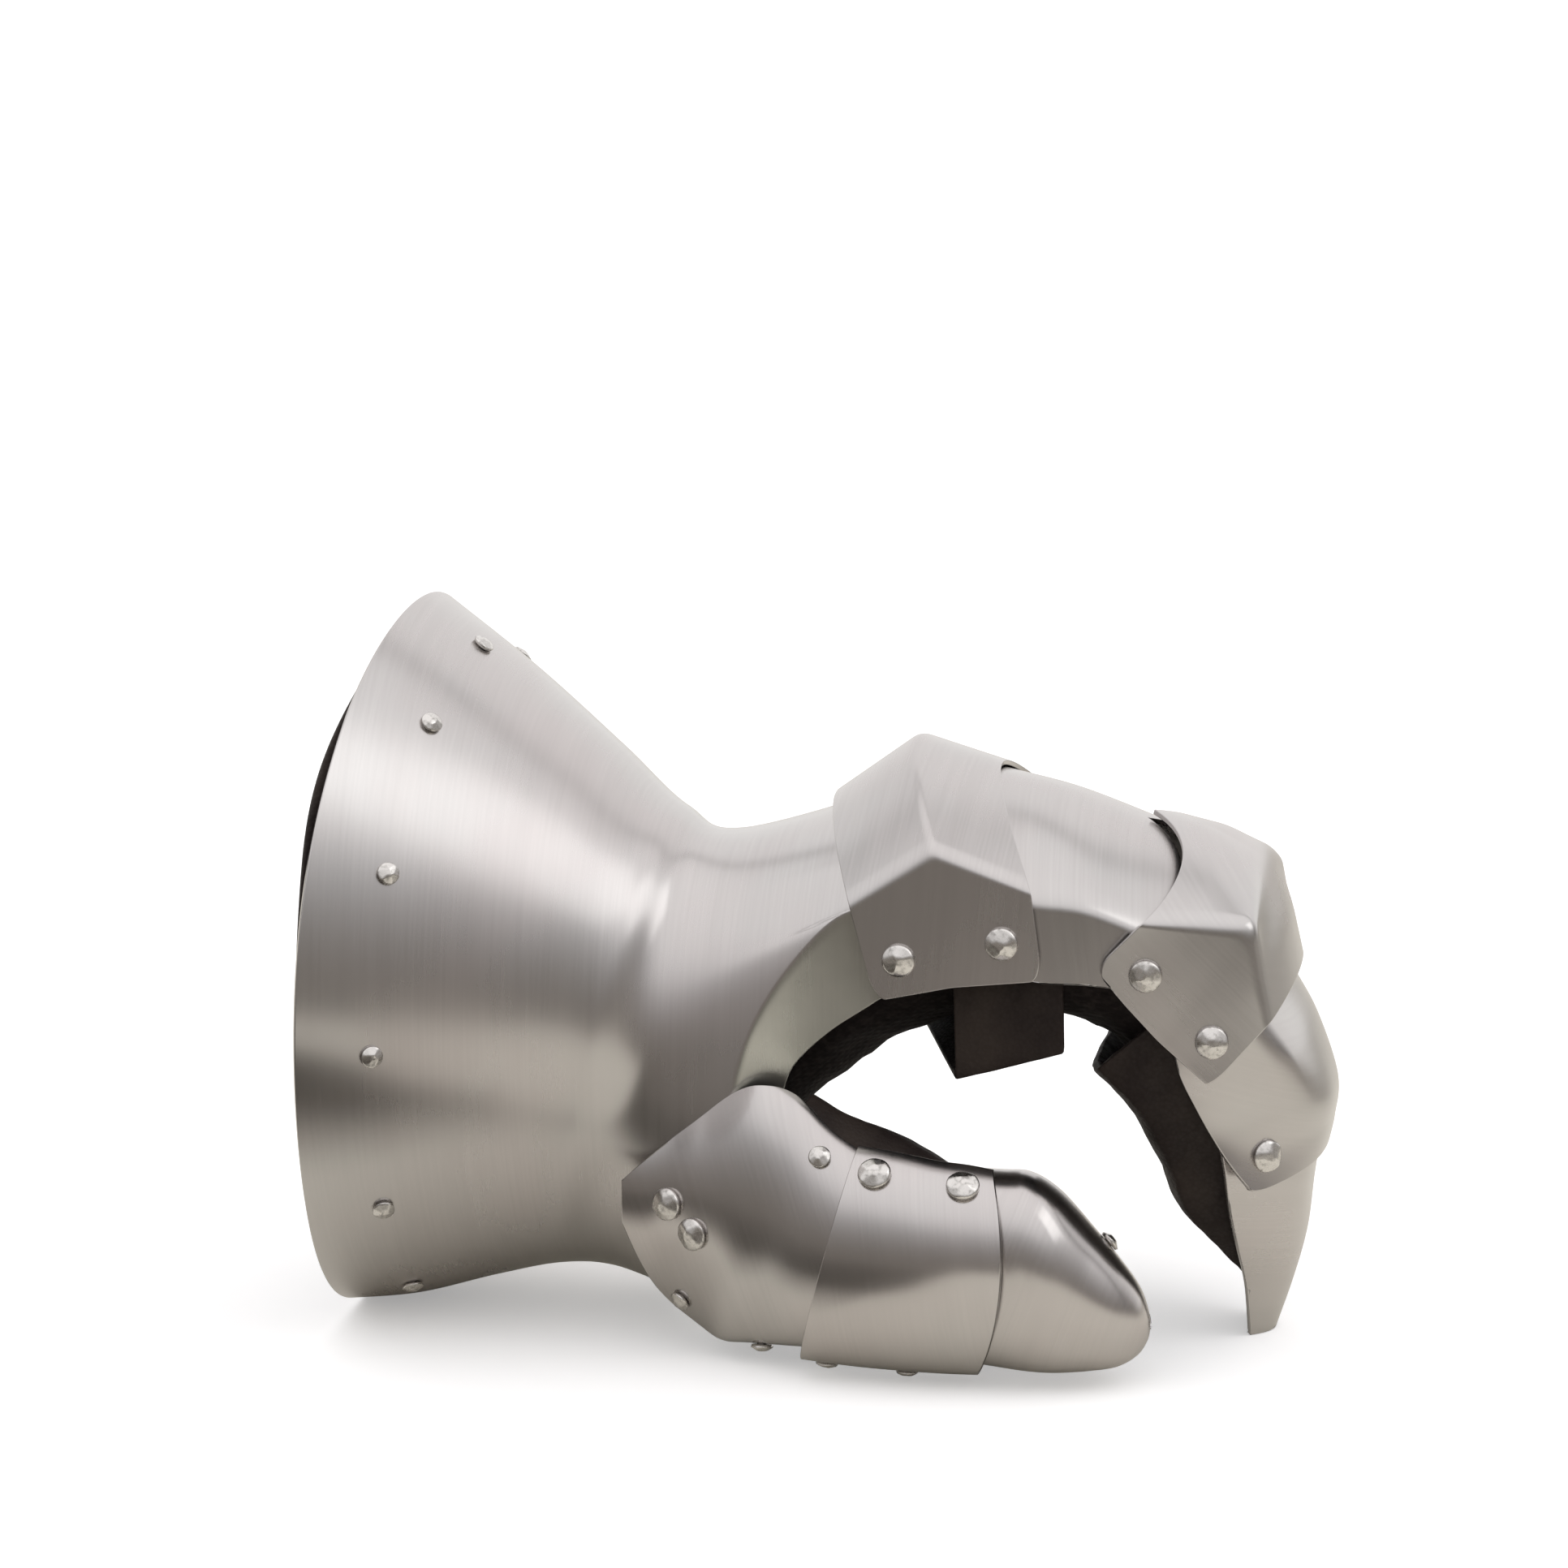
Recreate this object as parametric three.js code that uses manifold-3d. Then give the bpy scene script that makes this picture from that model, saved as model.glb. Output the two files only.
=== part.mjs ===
// Left-hand hourglass mitten gauntlet, lying palm down: +X points to the fingers,
// -Y to the thumb side, +Z up. Millimetres, origin on the floor under the middle.
import * as THREE from "three";
import { mergeVertices } from "three/addons/utils/BufferGeometryUtils.js";
import Module from "manifold-3d";

const wasm = await Module();
wasm.setup();

// ---- driving dimensions -------------------------------------------------
const STEEL = 1.3;
const LEATHER = 2.0;
const CLOTH = 2.2;
const HOLE_CLEARANCE = 0.35;
const SEAT_GAP = 0.45;
const CUFF_RIVETS = 12;
const CUFF_RIVET_STEP = 360 / CUFF_RIVETS;
const FIRST_CUFF_RIVET = 93;
const CUFF_RIVET_INSET = 19.5;
const SEAT_STEP = 0.002;
const LARGE_RIVET = { radius: 4.0, height: 2.3, shank: 1.7, grip: 6.0 };
const LONG_RIVET = { ...LARGE_RIVET, grip: 7.6 };
const SMALL_RIVET = { radius: 2.7, height: 1.6, shank: 1.2, grip: 5 };
const CUFF_RIVET = { ...SMALL_RIVET, grip: 5.9 };
const RIVET_SIDES = 8;
const BIT_SPARE = 4;
const TAIL_RIM = 0.9;
const SHOULDER = { out: 0.78, up: 0.62 };
const TRIM_SIZE = 400;
const TRIM_DEPTH = 10;
const WELD = 1e-3;
const DEG = Math.PI / 180;
// The points below are measured from under the wrist; this brings the origin under the middle.
const ORIGIN_SHIFT = -10.76;

// ---- materials ----------------------------------------------------------
const steel = new THREE.MeshStandardMaterial({ color: 0xb5b1ad, roughness: 0.34, metalness: 1 });
const bright = new THREE.MeshStandardMaterial({ color: 0xc4c0bb, roughness: 0.22, metalness: 1 });
const leather = new THREE.MeshStandardMaterial({ color: 0x3a312b, roughness: 0.72, metalness: 0 });
const cloth = new THREE.MeshStandardMaterial({ color: 0x17140f, roughness: 0.95, metalness: 0 });

const gauntlet = new THREE.Group();

// ---- small helpers ------------------------------------------------------
const point = (x, y, z) => new THREE.Vector3(x, y, z);
const mix = (a, b, t) => a + (b - a) * t;
const clamp = (value, low, high) => Math.min(Math.max(value, low), high);
const power = (value, exponent) => Math.sign(value) * Math.abs(value) ** exponent;

function addMesh(name, geometry, material) {
  const mesh = new THREE.Mesh(geometry, material);
  mesh.name = name;
  gauntlet.add(mesh);
  return mesh;
}

// Smooth curve through equal-length number rows; t runs from 0 to the last row's index.
function smoothRow(rows, t, closed = false) {
  const count = rows.length;
  const i = closed ? Math.floor(t) : Math.min(Math.floor(t), count - 2);
  const f = t - i;
  const pick = (k) => rows[closed ? (k + count) % count : Math.min(Math.max(k, 0), count - 1)];
  const [a, b, c, d] = [pick(i - 1), pick(i), pick(i + 1), pick(i + 2)];
  return b.map((_, k) => {
    const bend = 2 * a[k] - 5 * b[k] + 4 * c[k] - d[k];
    const twist = 3 * b[k] - a[k] - 3 * c[k] + d[k];
    return 0.5 * (2 * b[k] + (c[k] - a[k]) * f + bend * f * f + twist * f ** 3);
  });
}

// Straight facets between rows, for plates with a hammered ridge.
function facetRow(rows, t) {
  const i = Math.min(Math.floor(t), rows.length - 2);
  return rows[i].map((value, k) => mix(value, rows[i + 1][k], t - i));
}

// Grid of points over surface(u, v); the seam of a closed surface welds shut by itself.
function gridSurface(surface, columns, rows) {
  const positions = [];
  for (let j = 0; j <= rows; j += 1) {
    for (let i = 0; i <= columns; i += 1) {
      positions.push(...surface(i / columns, j / rows).toArray());
    }
  }
  const index = [];
  for (let j = 0; j < rows; j += 1) {
    for (let i = 0; i < columns; i += 1) {
      const a = j * (columns + 1) + i;
      const d = a + columns + 1;
      index.push(a, a + 1, d + 1, a, d + 1, d);
    }
  }
  const geometry = new THREE.BufferGeometry();
  geometry.setAttribute("position", new THREE.Float32BufferAttribute(positions, 3));
  geometry.setIndex(index);
  return dropSlivers(mergeVertices(geometry, WELD));
}

function dropSlivers(geometry) {
  const index = geometry.getIndex().array;
  const kept = [];
  for (let i = 0; i < index.length; i += 3) {
    const [a, b, c] = [index[i], index[i + 1], index[i + 2]];
    if (a !== b && b !== c && c !== a) kept.push(a, b, c);
  }
  geometry.setIndex(kept);
  return geometry;
}

function volumeOf(positions, index) {
  let sum = 0;
  for (let i = 0; i < index.length; i += 3) {
    const [a, b, c] = [0, 1, 2].map((k) => point(0, 0, 0).fromArray(positions, 3 * index[i + k]));
    sum += a.dot(b.cross(c));
  }
  return sum / 6;
}

// Gives an open surface a wall thickness towards its inside and closes its rims.
function thicken(open, thickness, inside) {
  open.computeVertexNormals();
  const outer = open.getAttribute("position");
  const normals = open.getAttribute("normal");
  const faces = Array.from(open.getIndex().array);
  const count = outer.count;
  const positions = Array.from(outer.array);
  const at = (k) => point(0, 0, 0).fromBufferAttribute(outer, k);
  const middle = at(faces[0]);
  const inwards = inside.clone().sub(middle);
  const facing = point(0, 0, 0).fromBufferAttribute(normals, faces[0]).dot(inwards);
  const side = facing > 0 ? 1 : -1;
  for (let k = 0; k < count; k += 1) {
    const normal = point(0, 0, 0).fromBufferAttribute(normals, k);
    positions.push(...at(k).addScaledVector(normal, side * thickness).toArray());
  }
  const index = [...faces];
  const border = new Map();
  for (let i = 0; i < faces.length; i += 3) {
    const [a, b, c] = [faces[i], faces[i + 1], faces[i + 2]];
    index.push(a + count, c + count, b + count);
    for (const [p, q] of [[a, b], [b, c], [c, a]]) {
      if (!border.delete(`${q}_${p}`)) border.set(`${p}_${q}`, [p, q]);
    }
  }
  for (const [p, q] of border.values()) {
    index.push(q, p, p + count, q, p + count, q + count);
  }
  return closedGeometry(positions, index);
}

function closedGeometry(positions, index) {
  if (volumeOf(positions, index) < 0) index.reverse();
  const geometry = new THREE.BufferGeometry();
  geometry.setAttribute("position", new THREE.Float32BufferAttribute(positions, 3));
  geometry.setIndex(index);
  return geometry;
}

// ---- drilling -----------------------------------------------------------
function toSolid(geometry) {
  const plain = geometry.clone();
  for (const extra of ["normal", "uv"]) plain.deleteAttribute(extra);
  const merged = mergeVertices(plain, 1e-4);
  const vertProperties = new Float32Array(merged.getAttribute("position").array);
  const triVerts = new Uint32Array(merged.getIndex().array);
  return new wasm.Manifold(new wasm.Mesh({ numProp: 3, vertProperties, triVerts }));
}

function toGeometry(solid) {
  const mesh = solid.getMesh();
  const geometry = new THREE.BufferGeometry();
  geometry.setAttribute("position", new THREE.Float32BufferAttribute(mesh.vertProperties, 3));
  geometry.setIndex(Array.from(mesh.triVerts));
  return geometry;
}

function drill(geometry, seats) {
  let solid = toSolid(geometry);
  for (const { position, axis, size } of seats) {
    const radius = size.shank + HOLE_CLEARANCE;
    const bit = new THREE.CylinderGeometry(radius, radius, 2 * size.grip + BIT_SPARE, RIVET_SIDES);
    bit.rotateX(Math.PI / 2);
    bit.applyQuaternion(new THREE.Quaternion().setFromUnitVectors(point(0, 0, 1), axis));
    bit.translate(position.x, position.y, position.z);
    solid = solid.subtract(toSolid(bit));
  }
  return toGeometry(solid);
}

// Cuts a wall off flat at the floor.
function trimAtFloor(geometry) {
  const below = new THREE.BoxGeometry(TRIM_SIZE, TRIM_SIZE, TRIM_DEPTH).translate(0, 0, -TRIM_DEPTH / 2);
  return toGeometry(toSolid(geometry).subtract(toSolid(below)));
}

// Point of surface(u, v) closest to target, with the surface's outward normal there.
const SEARCH_STEPS = 6;
const SEARCH_END = 1e-3;
const PROBE = 0.01;
function seatOn(surface, target, outward, size) {
  let best = { distance: Infinity, u: 0.5, v: 0.5 };
  for (let span = 1; span > SEARCH_END; span /= 3) {
    const centre = { ...best };
    for (let i = -SEARCH_STEPS; i <= SEARCH_STEPS; i += 1) {
      for (let j = -SEARCH_STEPS; j <= SEARCH_STEPS; j += 1) {
        const u = clamp(centre.u + (i * span) / (2 * SEARCH_STEPS), 0, 1);
        const v = clamp(centre.v + (j * span) / (2 * SEARCH_STEPS), 0, 1);
        const distance = surface(u, v).distanceTo(target);
        if (distance < best.distance) best = { distance, u, v };
      }
    }
  }
  const along = surface(best.u + PROBE, best.v).sub(surface(best.u - PROBE, best.v));
  const across = surface(best.u, best.v + PROBE).sub(surface(best.u, best.v - PROBE));
  const axis = along.cross(across).normalize();
  if (axis.dot(outward) < 0) axis.negate();
  return { position: surface(best.u, best.v), axis, size };
}

// Domed head outside, shank through the layers, small clinched head inside.
function rivetGeometry(size) {
  const tail = -size.grip;
  const profile = [
    [0, tail - TAIL_RIM],
    [size.shank + TAIL_RIM, tail - TAIL_RIM],
    [size.shank + TAIL_RIM, tail],
    [size.shank, tail],
    [size.shank, SEAT_GAP],
    [size.radius, SEAT_GAP],
    [size.radius * SHOULDER.out, SEAT_GAP + size.height * SHOULDER.up],
    [0, SEAT_GAP + size.height],
  ].map(([x, y]) => new THREE.Vector2(x, y));
  const geometry = new THREE.LatheGeometry(profile, RIVET_SIDES);
  geometry.rotateX(Math.PI / 2);
  return geometry;
}

function addRivet(name, seat) {
  const mesh = addMesh(name, rivetGeometry(seat.size), bright);
  mesh.position.copy(seat.position);
  mesh.quaternion.setFromUnitVectors(point(0, 0, 1), seat.axis);
}

// ---- body: cuff, waist and back of the hand in one sheet ----------------
// Rings of the cuff: top x, top z, bottom x, bottom z, half width, swing and skew of the sides
// along x, squareness.
const CUFF_RINGS = [
  [-94.5, 177.6, -110, 0.2, 87.4, -5.2, -4.5, 2.0],
  [-71, 159.8, -93, 2.2, 76, -4.5, -2.5, 2.05],
  [-48, 140.5, -74, 7.4, 63, -2.5, -1, 2.1],
  [-31, 125.5, -58, 11, 53, -1, 0, 2.2],
  [-15, 120.3, -45, 10.6, 47, 0, 0, 2.3],
];
// Creased rim round the hand: angle from the top towards the thumb, then the crease's point.
const CREASE = [
  [0, 34, 0, 135.5], [22.5, 33.5, -22, 132.6], [37.5, 32.5, -35, 126.6], [45, 31.5, -41, 122],
  [52.5, 29.5, -46, 117], [60, 25, -48.6, 113.4], [67.5, 16.5, -49, 109.5], [75, 8, -49.3, 101],
  [82.5, 0, -49.6, 90], [90, -5.5, -50, 79], [97.5, -8.8, -50.5, 67.5], [105, -9.5, -51, 56],
  [120, -9, -51, 38], [135, -11, -47, 22], [150, -19, -36, 11.5], [165, -28, -19, 8], [180, -35, 0, 7.5],
];
// The same for the free edge of the side band in front of the crease.
const EDGE = [
  [0, 38, 0, 136.5], [22.5, 37.5, -22, 133.6], [37.5, 36.5, -35, 127.4], [45, 36, -41, 122.6],
  [52.5, 35.5, -46, 113], [60, 34, -47.6, 95.5], [67.5, 25, -47, 88.4], [75, 15, -47, 81.6],
  [82.5, 8, -47, 75.3], [90, 4.2, -47, 70], [97.5, 2.2, -47.6, 62], [105, 2, -48.4, 53],
  [120, 2, -48.4, 37], [135, 0, -44, 21], [150, -10, -34, 9], [165, -20, -18, 5], [180, -29, 0, 4.2],
];
// The little-finger side has no thumb lobe: its lower rim runs straight back.
const LITTLE_CREASE = [
  [97.5, -10, 50, 67.5], [105, -13.5, 49.6, 56], [120, -23, 46, 38],
  [135, -30, 39, 23], [150, -34, 28, 13], [165, -36, 15, 8.6],
];
const LITTLE_EDGE = [
  [97.5, 0.5, 47, 61.5], [105, -3.5, 46.8, 51], [120, -13.5, 44, 34],
  [135, -21.5, 37.4, 20], [150, -27, 27, 10.4], [165, -29.5, 14.5, 5.4],
];

function mirroredLoop(half, littleSide) {
  const swapped = new Map(littleSide.map((row) => [row[0], row]));
  const back = half.slice(1, -1).reverse().map(([angle, x, y, z]) => {
    const [, lx, ly, lz] = swapped.get(angle) ?? [angle, x, -y, z];
    return [360 - angle, lx, ly, lz];
  });
  return [...half, ...back];
}

const creaseLoop = mirroredLoop(CREASE, LITTLE_CREASE);
const edgeLoop = mirroredLoop(EDGE, LITTLE_EDGE);

function loopPoint(loop, angle) {
  const count = loop.length;
  let i = loop.findIndex((row) => row[0] > angle + 1e-6) - 1;
  if (i < 0) i = count - 1;
  const next = i + 1 < count ? loop[i + 1][0] : 360;
  const t = (angle - loop[i][0]) / (next - loop[i][0]);
  const [, x, y, z] = smoothRow(loop.map((row) => [0, ...row.slice(1)]), i + t, true);
  return [x, y, z];
}

function cuffPoint([topX, topZ, bottomX, bottomZ, half, swing, skew, squareness], angle) {
  const across = power(Math.sin(angle * DEG), 2 / squareness);
  const up = power(Math.cos(angle * DEG), 2 / squareness);
  const x = mix(bottomX, topX, (1 + up) / 2) + swing * across + skew * up * across ** 2;
  return [x, -half * across, mix(bottomZ, topZ, (1 + up) / 2)];
}

// v runs from the cuff rim (0) to the crease, and over the last share across the side band.
const BAND_SHARE = 1 / 6;
function bodySurface(u, v) {
  const angle = (((u % 1) + 1) % 1) * 360;
  const crease = loopPoint(creaseLoop, angle);
  if (v > 1 - BAND_SHARE) {
    const t = (v - 1 + BAND_SHARE) / BAND_SHARE;
    const edge = loopPoint(edgeLoop, angle);
    return point(...crease.map((value, k) => mix(value, edge[k], t)));
  }
  const stations = [...CUFF_RINGS.map((ring) => cuffPoint(ring, angle)), crease];
  return point(...smoothRow(stations, (v / (1 - BAND_SHARE)) * (stations.length - 1)));
}

// ---- plates over the back of the hand -----------------------------------
// Half a cross-section: E lower edge, C side crease, T crown (all x, y, z); then how full the
// crown is, how far its shoulder bows towards the fingers, how soft the crease is, and how far
// a bowed shoulder comes down for each millimetre of bow.
const row = (E, C, T, full = 0.5, bow = 0, soft = 0, fall = 0) => [...E, ...C, ...T, full, bow, soft, fall];
const CREASE_AT = 0.6;

function sectionPoint(values, u) {
  const side = Math.sign(u - 0.5);
  const reach = Math.abs(u - 0.5) * 2;
  const [E, C, T] = [0, 3, 6].map((k) => values.slice(k, k + 3));
  const [full, bow, soft, fall] = values.slice(9);
  const B = [T[0] + bow, C[1] * full, T[2] - bow * fall];
  const t = Math.min(reach / CREASE_AT, 1);
  const w = Math.max((reach - CREASE_AT) / (1 - CREASE_AT), 0);
  const r = 1 - reach;
  const [x, y, z] = E.map((_, k) => {
    const arc = (1 - t) ** 2 * T[k] + 2 * t * (1 - t) * B[k] + t * t * C[k];
    const creased = w > 0 ? mix(C[k], E[k], w) : arc;
    const round = r ** 3 * T[k] + 3 * r * r * reach * B[k] + 3 * r * reach ** 2 * C[k] + reach ** 3 * E[k];
    return mix(creased, round, soft);
  });
  return point(x, side < 0 ? y : -y, z);
}

// Rounds the two lower corners at each end of a plate: the rows there are cut back.
function cornerCut(u, round) {
  const reach = Math.abs(u - 0.5) * 2;
  const over = Math.max(0, (reach - 1 + round) / round);
  return 1 - Math.sqrt(1 - Math.min(over, 1) ** 2);
}

function plateSurface(rows, { smooth = false, cut = [0, 0], round = 0.12 } = {}) {
  return (u, v) => {
    const clipped = cornerCut(clamp(u, 0, 1), round);
    const last = rows.length - 1;
    const t = clamp(mix(cut[0] * clipped, 1 - cut[1] * clipped, v) * last, 0, last);
    return sectionPoint(smooth ? smoothRow(rows, t) : facetRow(rows, t), clamp(u, 0, 1));
  };
}

const knuckleRows = [
  row([25.5, -51.4, 89.5], [18.9, -51.2, 113.5], [8.6, 0, 131.2], 0.4),
  row([44, -51.4, 93.4], [39.2, -51.2, 126.9], [28.5, 0, 145.6], 0.38),
  row([65.6, -51.2, 95.6], [62.5, -51.2, 118], [49.8, 0, 139.3], 0.38),
];
const FINGER_FALL = 0.33;
const SECOND_FALL = 0.28;
const fingerRows = [
  row([50, -48.6, 97], [50, -48.6, 118.8], [41, 0, 139], 0.44),
  row([64, -48.2, 94.5], [62.5, -48.2, 115.4], [52.6, 0, 136.8], 0.44),
  row([76, -47, 94], [75.7, -47, 113.4], [67, 0, 133.2], 0.48, 4, 0, FINGER_FALL),
  row([90, -44.6, 92], [94.2, -43.6, 105.4], [85.6, 0, 126.6], 0.43, 16, 0, FINGER_FALL),
];
const secondRows = [
  row([77.6, -48.8, 98.4], [89.5, -48.4, 110.6], [87, 0, 128.7], 0.46, 17, 0, SECOND_FALL),
  row([85, -47.8, 89.6], [102, -46.8, 110.4], [101, 0, 125], 0.48, 6, 0, SECOND_FALL),
  row([92.5, -46.8, 81.3], [115.5, -45.2, 110], [113.8, 0, 118.2], 0.5),
  row([99, -46.2, 75.4], [117.3, -44.6, 97], [120.4, 0, 103.5], 0.55),
  row([105.3, -45.8, 70], [119.4, -43.8, 86], [123.4, 0, 90.5], 0.6),
];
const endRows = [
  row([95.5, -43, 82], [113.6, -41.6, 96], [116.6, 0, 101], 0.55, 0, 0.1),
  row([97.5, -42.8, 72.5], [116.6, -41, 86], [119.8, 0, 89.5], 0.55, 0, 0.15),
  row([102, -41.6, 63], [124.4, -36, 75], [127.2, 0, 76], 0.62, 0, 0.3),
  row([105.8, -40.2, 56], [129.4, -29, 63.5], [132.6, 0, 62], 0.7, 0, 0.65),
  row([110.2, -38.6, 49], [129.6, -24, 54], [132.2, 0, 53.5], 0.7, 0, 1),
  row([115.4, -36, 42], [128.4, -23, 45], [131, 0, 47.6], 0.7, 0, 1),
];
const tipRows = [
  row([106.6, -37.2, 58], [124.5, -25, 60], [129, 0, 61], 0.7, 0, 1),
  row([108.2, -35.2, 47.5], [125.4, -22.4, 48.5], [128.8, 0, 49], 0.7, 0, 1),
  row([109.2, -30.4, 36], [124.6, -19.6, 37], [127.4, 0, 37.5], 0.7, 0, 1),
  row([110.8, -24.6, 25.3], [122.8, -16, 25], [126, 0, 25], 0.7, 0, 1),
  row([112.4, -16.8, 13.5], [120, -11.4, 12.5], [122.8, 0, 12.5], 0.7, 0, 1),
  row([113.2, -10, -1.5], [116.6, -7, -1.5], [118.2, 0, -1.5], 0.7, 0, 1),
];

const knuckleSurface = plateSurface(knuckleRows, { cut: [0.07, 0.07] });
const fingerSurface = plateSurface(fingerRows, { smooth: true });
const secondSurface = plateSurface(secondRows, { cut: [0.08, 0.05] });
const endSurface = plateSurface(endRows, { smooth: true, cut: [0, 0.05] });
const tipSurface = plateSurface(tipRows, { smooth: true });

// ---- thumb: three nested troughs ----------------------------------------
// Sections: middle x, middle z, half height, lean, middle y, half depth, start and end angle,
// bow of the near side towards the tip.
const BASE_ROWS = [
  [-36, 39, 36, 0, -12, 40.4, 84, 98, 0],
  [-28, 38, 36, 2, -15, 38.4, 70, 126, 0],
  [-18, 38, 35.6, 5, -27, 31.4, 52, 146, 0],
  [-7, 37.6, 34, 9, -47.6, 16.4, 22, 164, 0],
  [1.6, 36.2, 31.8, 11, -52.4, 14.8, 10, 180, 0],
  [12, 32.8, 27.6, 13, -56.6, 15.2, 14, 186, 0],
  [28, 29, 23.2, 13, -59.6, 15.8, 14, 188, 0],
];
const MIDDLE_ROWS = [
  [16.5, 30.8, 28, 14.5, -59.5, 18.4, 12, 204, 0],
  [27.5, 29.8, 27.6, 11, -60, 19.4, 12, 204, 1],
  [38.5, 28.8, 26.8, 8, -60.5, 20, 12, 204, 2.5],
  [47, 28.3, 26.4, 6, -60.5, 20, 12, 204, 4],
  [54, 27.8, 25.8, 4, -60.5, 19.2, 12, 204, 5.5],
];
const TIP_ROWS = [
  [44, 28.8, 22.8, 7, -60, 16.6, 4, 206, 0],
  [56, 27.9, 23.4, 3, -60, 16.8, -20, 214, 0],
  [64, 27.2, 23.7, 0, -60, 17, -50, 230, 0],
  [71, 25, 21.6, 0, -60, 16.6, -60, 240, 0],
  [79, 20.7, 16.8, 0, -59, 14.4, -60, 240, 0],
  [85.5, 17.4, 12.4, 0, -58.5, 11.6, -60, 240, 0],
  [90, 15.6, 8, 0, -58, 7.8, -60, 240, 0],
  [92.2, 14.6, 3.6, 0, -58, 3.6, -60, 240, 0],
  [92.8, 14.2, 0, 0, -58, 0, -60, 240, 0],
];
const TROUGH_SQUARENESS = 2.15;

function troughSurface(rows) {
  return (u, v) => {
    const t = clamp(v, 0, 1) * (rows.length - 1);
    const [mx, mz, height, lean, my, depth, start, end, bow] = smoothRow(rows, t);
    const angle = mix(start, end, u) * DEG;
    const up = height * power(Math.cos(angle), 2 / TROUGH_SQUARENESS);
    const out = depth * power(Math.sin(angle), 2 / TROUGH_SQUARENESS);
    const x = mx + up * Math.sin(lean * DEG) + bow * (out / Math.max(depth, WELD)) ** 2;
    return point(x, my - out, mz + up * Math.cos(lean * DEG));
  };
}

const thumbBaseSurface = troughSurface(BASE_ROWS);
const thumbMiddleSurface = troughSurface(MIDDLE_ROWS);
const thumbTipSurface = troughSurface(TIP_ROWS);

// ---- leather and cloth --------------------------------------------------
// The lining rides inside the cuff and stands a little out of the rim above the thumb side.
const LINING_SHARE = 0.165;
const LINING_WIDENING = 0.62;
const LINING_INSET = 2.3;
const LINING_RISE = 2.6;
const LINING_PEAK = 54;
const LINING_SPREAD = 20;
const CUFF_MIDDLE = 88.5;
function liningSurface(u, v) {
  const angle = (u % 1) * 360;
  const [rim, next] = CUFF_RINGS.slice(0, 2).map((ring) => point(...cuffPoint(ring, angle)));
  const slant = next.sub(rim).normalize();
  const rise = LINING_RISE * Math.exp(-(((angle - LINING_PEAK) / LINING_SPREAD) ** 2));
  const share = LINING_SHARE * (1 + (LINING_WIDENING * (1 - Math.cos(angle * DEG))) / 2);
  const place = bodySurface(u, share * v).addScaledVector(slant, -rise * (1 - v));
  const inward = point(0, -place.y, CUFF_MIDDLE - place.z).normalize();
  return place.addScaledVector(inward, LINING_INSET);
}

const fingerLeatherRows = [
  row([90, -40, 83], [76.5, -41, 71], [74, 0, 68.5], 0.8, 0, 0.5),
  row([103, -36.5, 68], [87.5, -39, 60], [84.5, 0, 57.5], 0.8, 0, 0.5),
  row([110.5, -31, 53], [93, -33.5, 48.5], [89.5, 0, 46], 0.8, 0, 0.5),
  row([113.5, -25, 38], [97, -28, 35], [94, 0, 34], 0.8, 0, 0.5),
  row([115, -19, 26], [103.5, -22.5, 27], [101.8, 0, 26.5], 0.8, 0, 0.5),
  row([117, -12, 15.5], [112.8, -13.5, 15], [112, 0, 14.5], 0.8, 0, 0.5),
];
const fingerLeatherSurface = plateSurface(fingerLeatherRows, { smooth: true });

const strapRows = [
  row([43.5, -45.2, 96.4], [44.5, -44.6, 69.6], [45.5, 0, 67.6], 0.85),
  row([70, -45.2, 96.4], [70.5, -44.6, 76.8], [71, 0, 75], 0.85),
];
const STRAP_SKEW = -0.25;
const STRAP_END = 46;
const strapFlat = plateSurface(strapRows);
function strapSurface(u, v) {
  const place = strapFlat(u, v);
  place.x += STRAP_SKEW * (place.y + STRAP_END);
  return place;
}

// Leather over the open side of the thumb: edge under the plates, crest, palm face, lower edge.
const THUMB_LEATHER = [
  [[6.6, -57, 60.6], [9.6, -47, 65.4], [9.6, -41, 60], [8, -40, 40], [4.6, -42, 20]],
  [[18, -59.5, 54.8], [19, -49, 60.8], [18.4, -42, 55.6], [15, -41, 36], [11, -43, 14]],
  [[32, -61, 51.4], [32, -50, 56], [31.6, -43.2, 51.6], [29, -42, 33], [26, -44, 12]],
  [[46, -61.5, 47.4], [46.4, -53, 49], [46, -46.6, 46], [44.4, -44.6, 31], [43, -46, 15]],
];
function thumbLeatherSurface(u, v) {
  const rows = THUMB_LEATHER.map((stations) => smoothRow(stations, u * (stations.length - 1)));
  return point(...smoothRow(rows, v * (rows.length - 1)));
}

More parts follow.
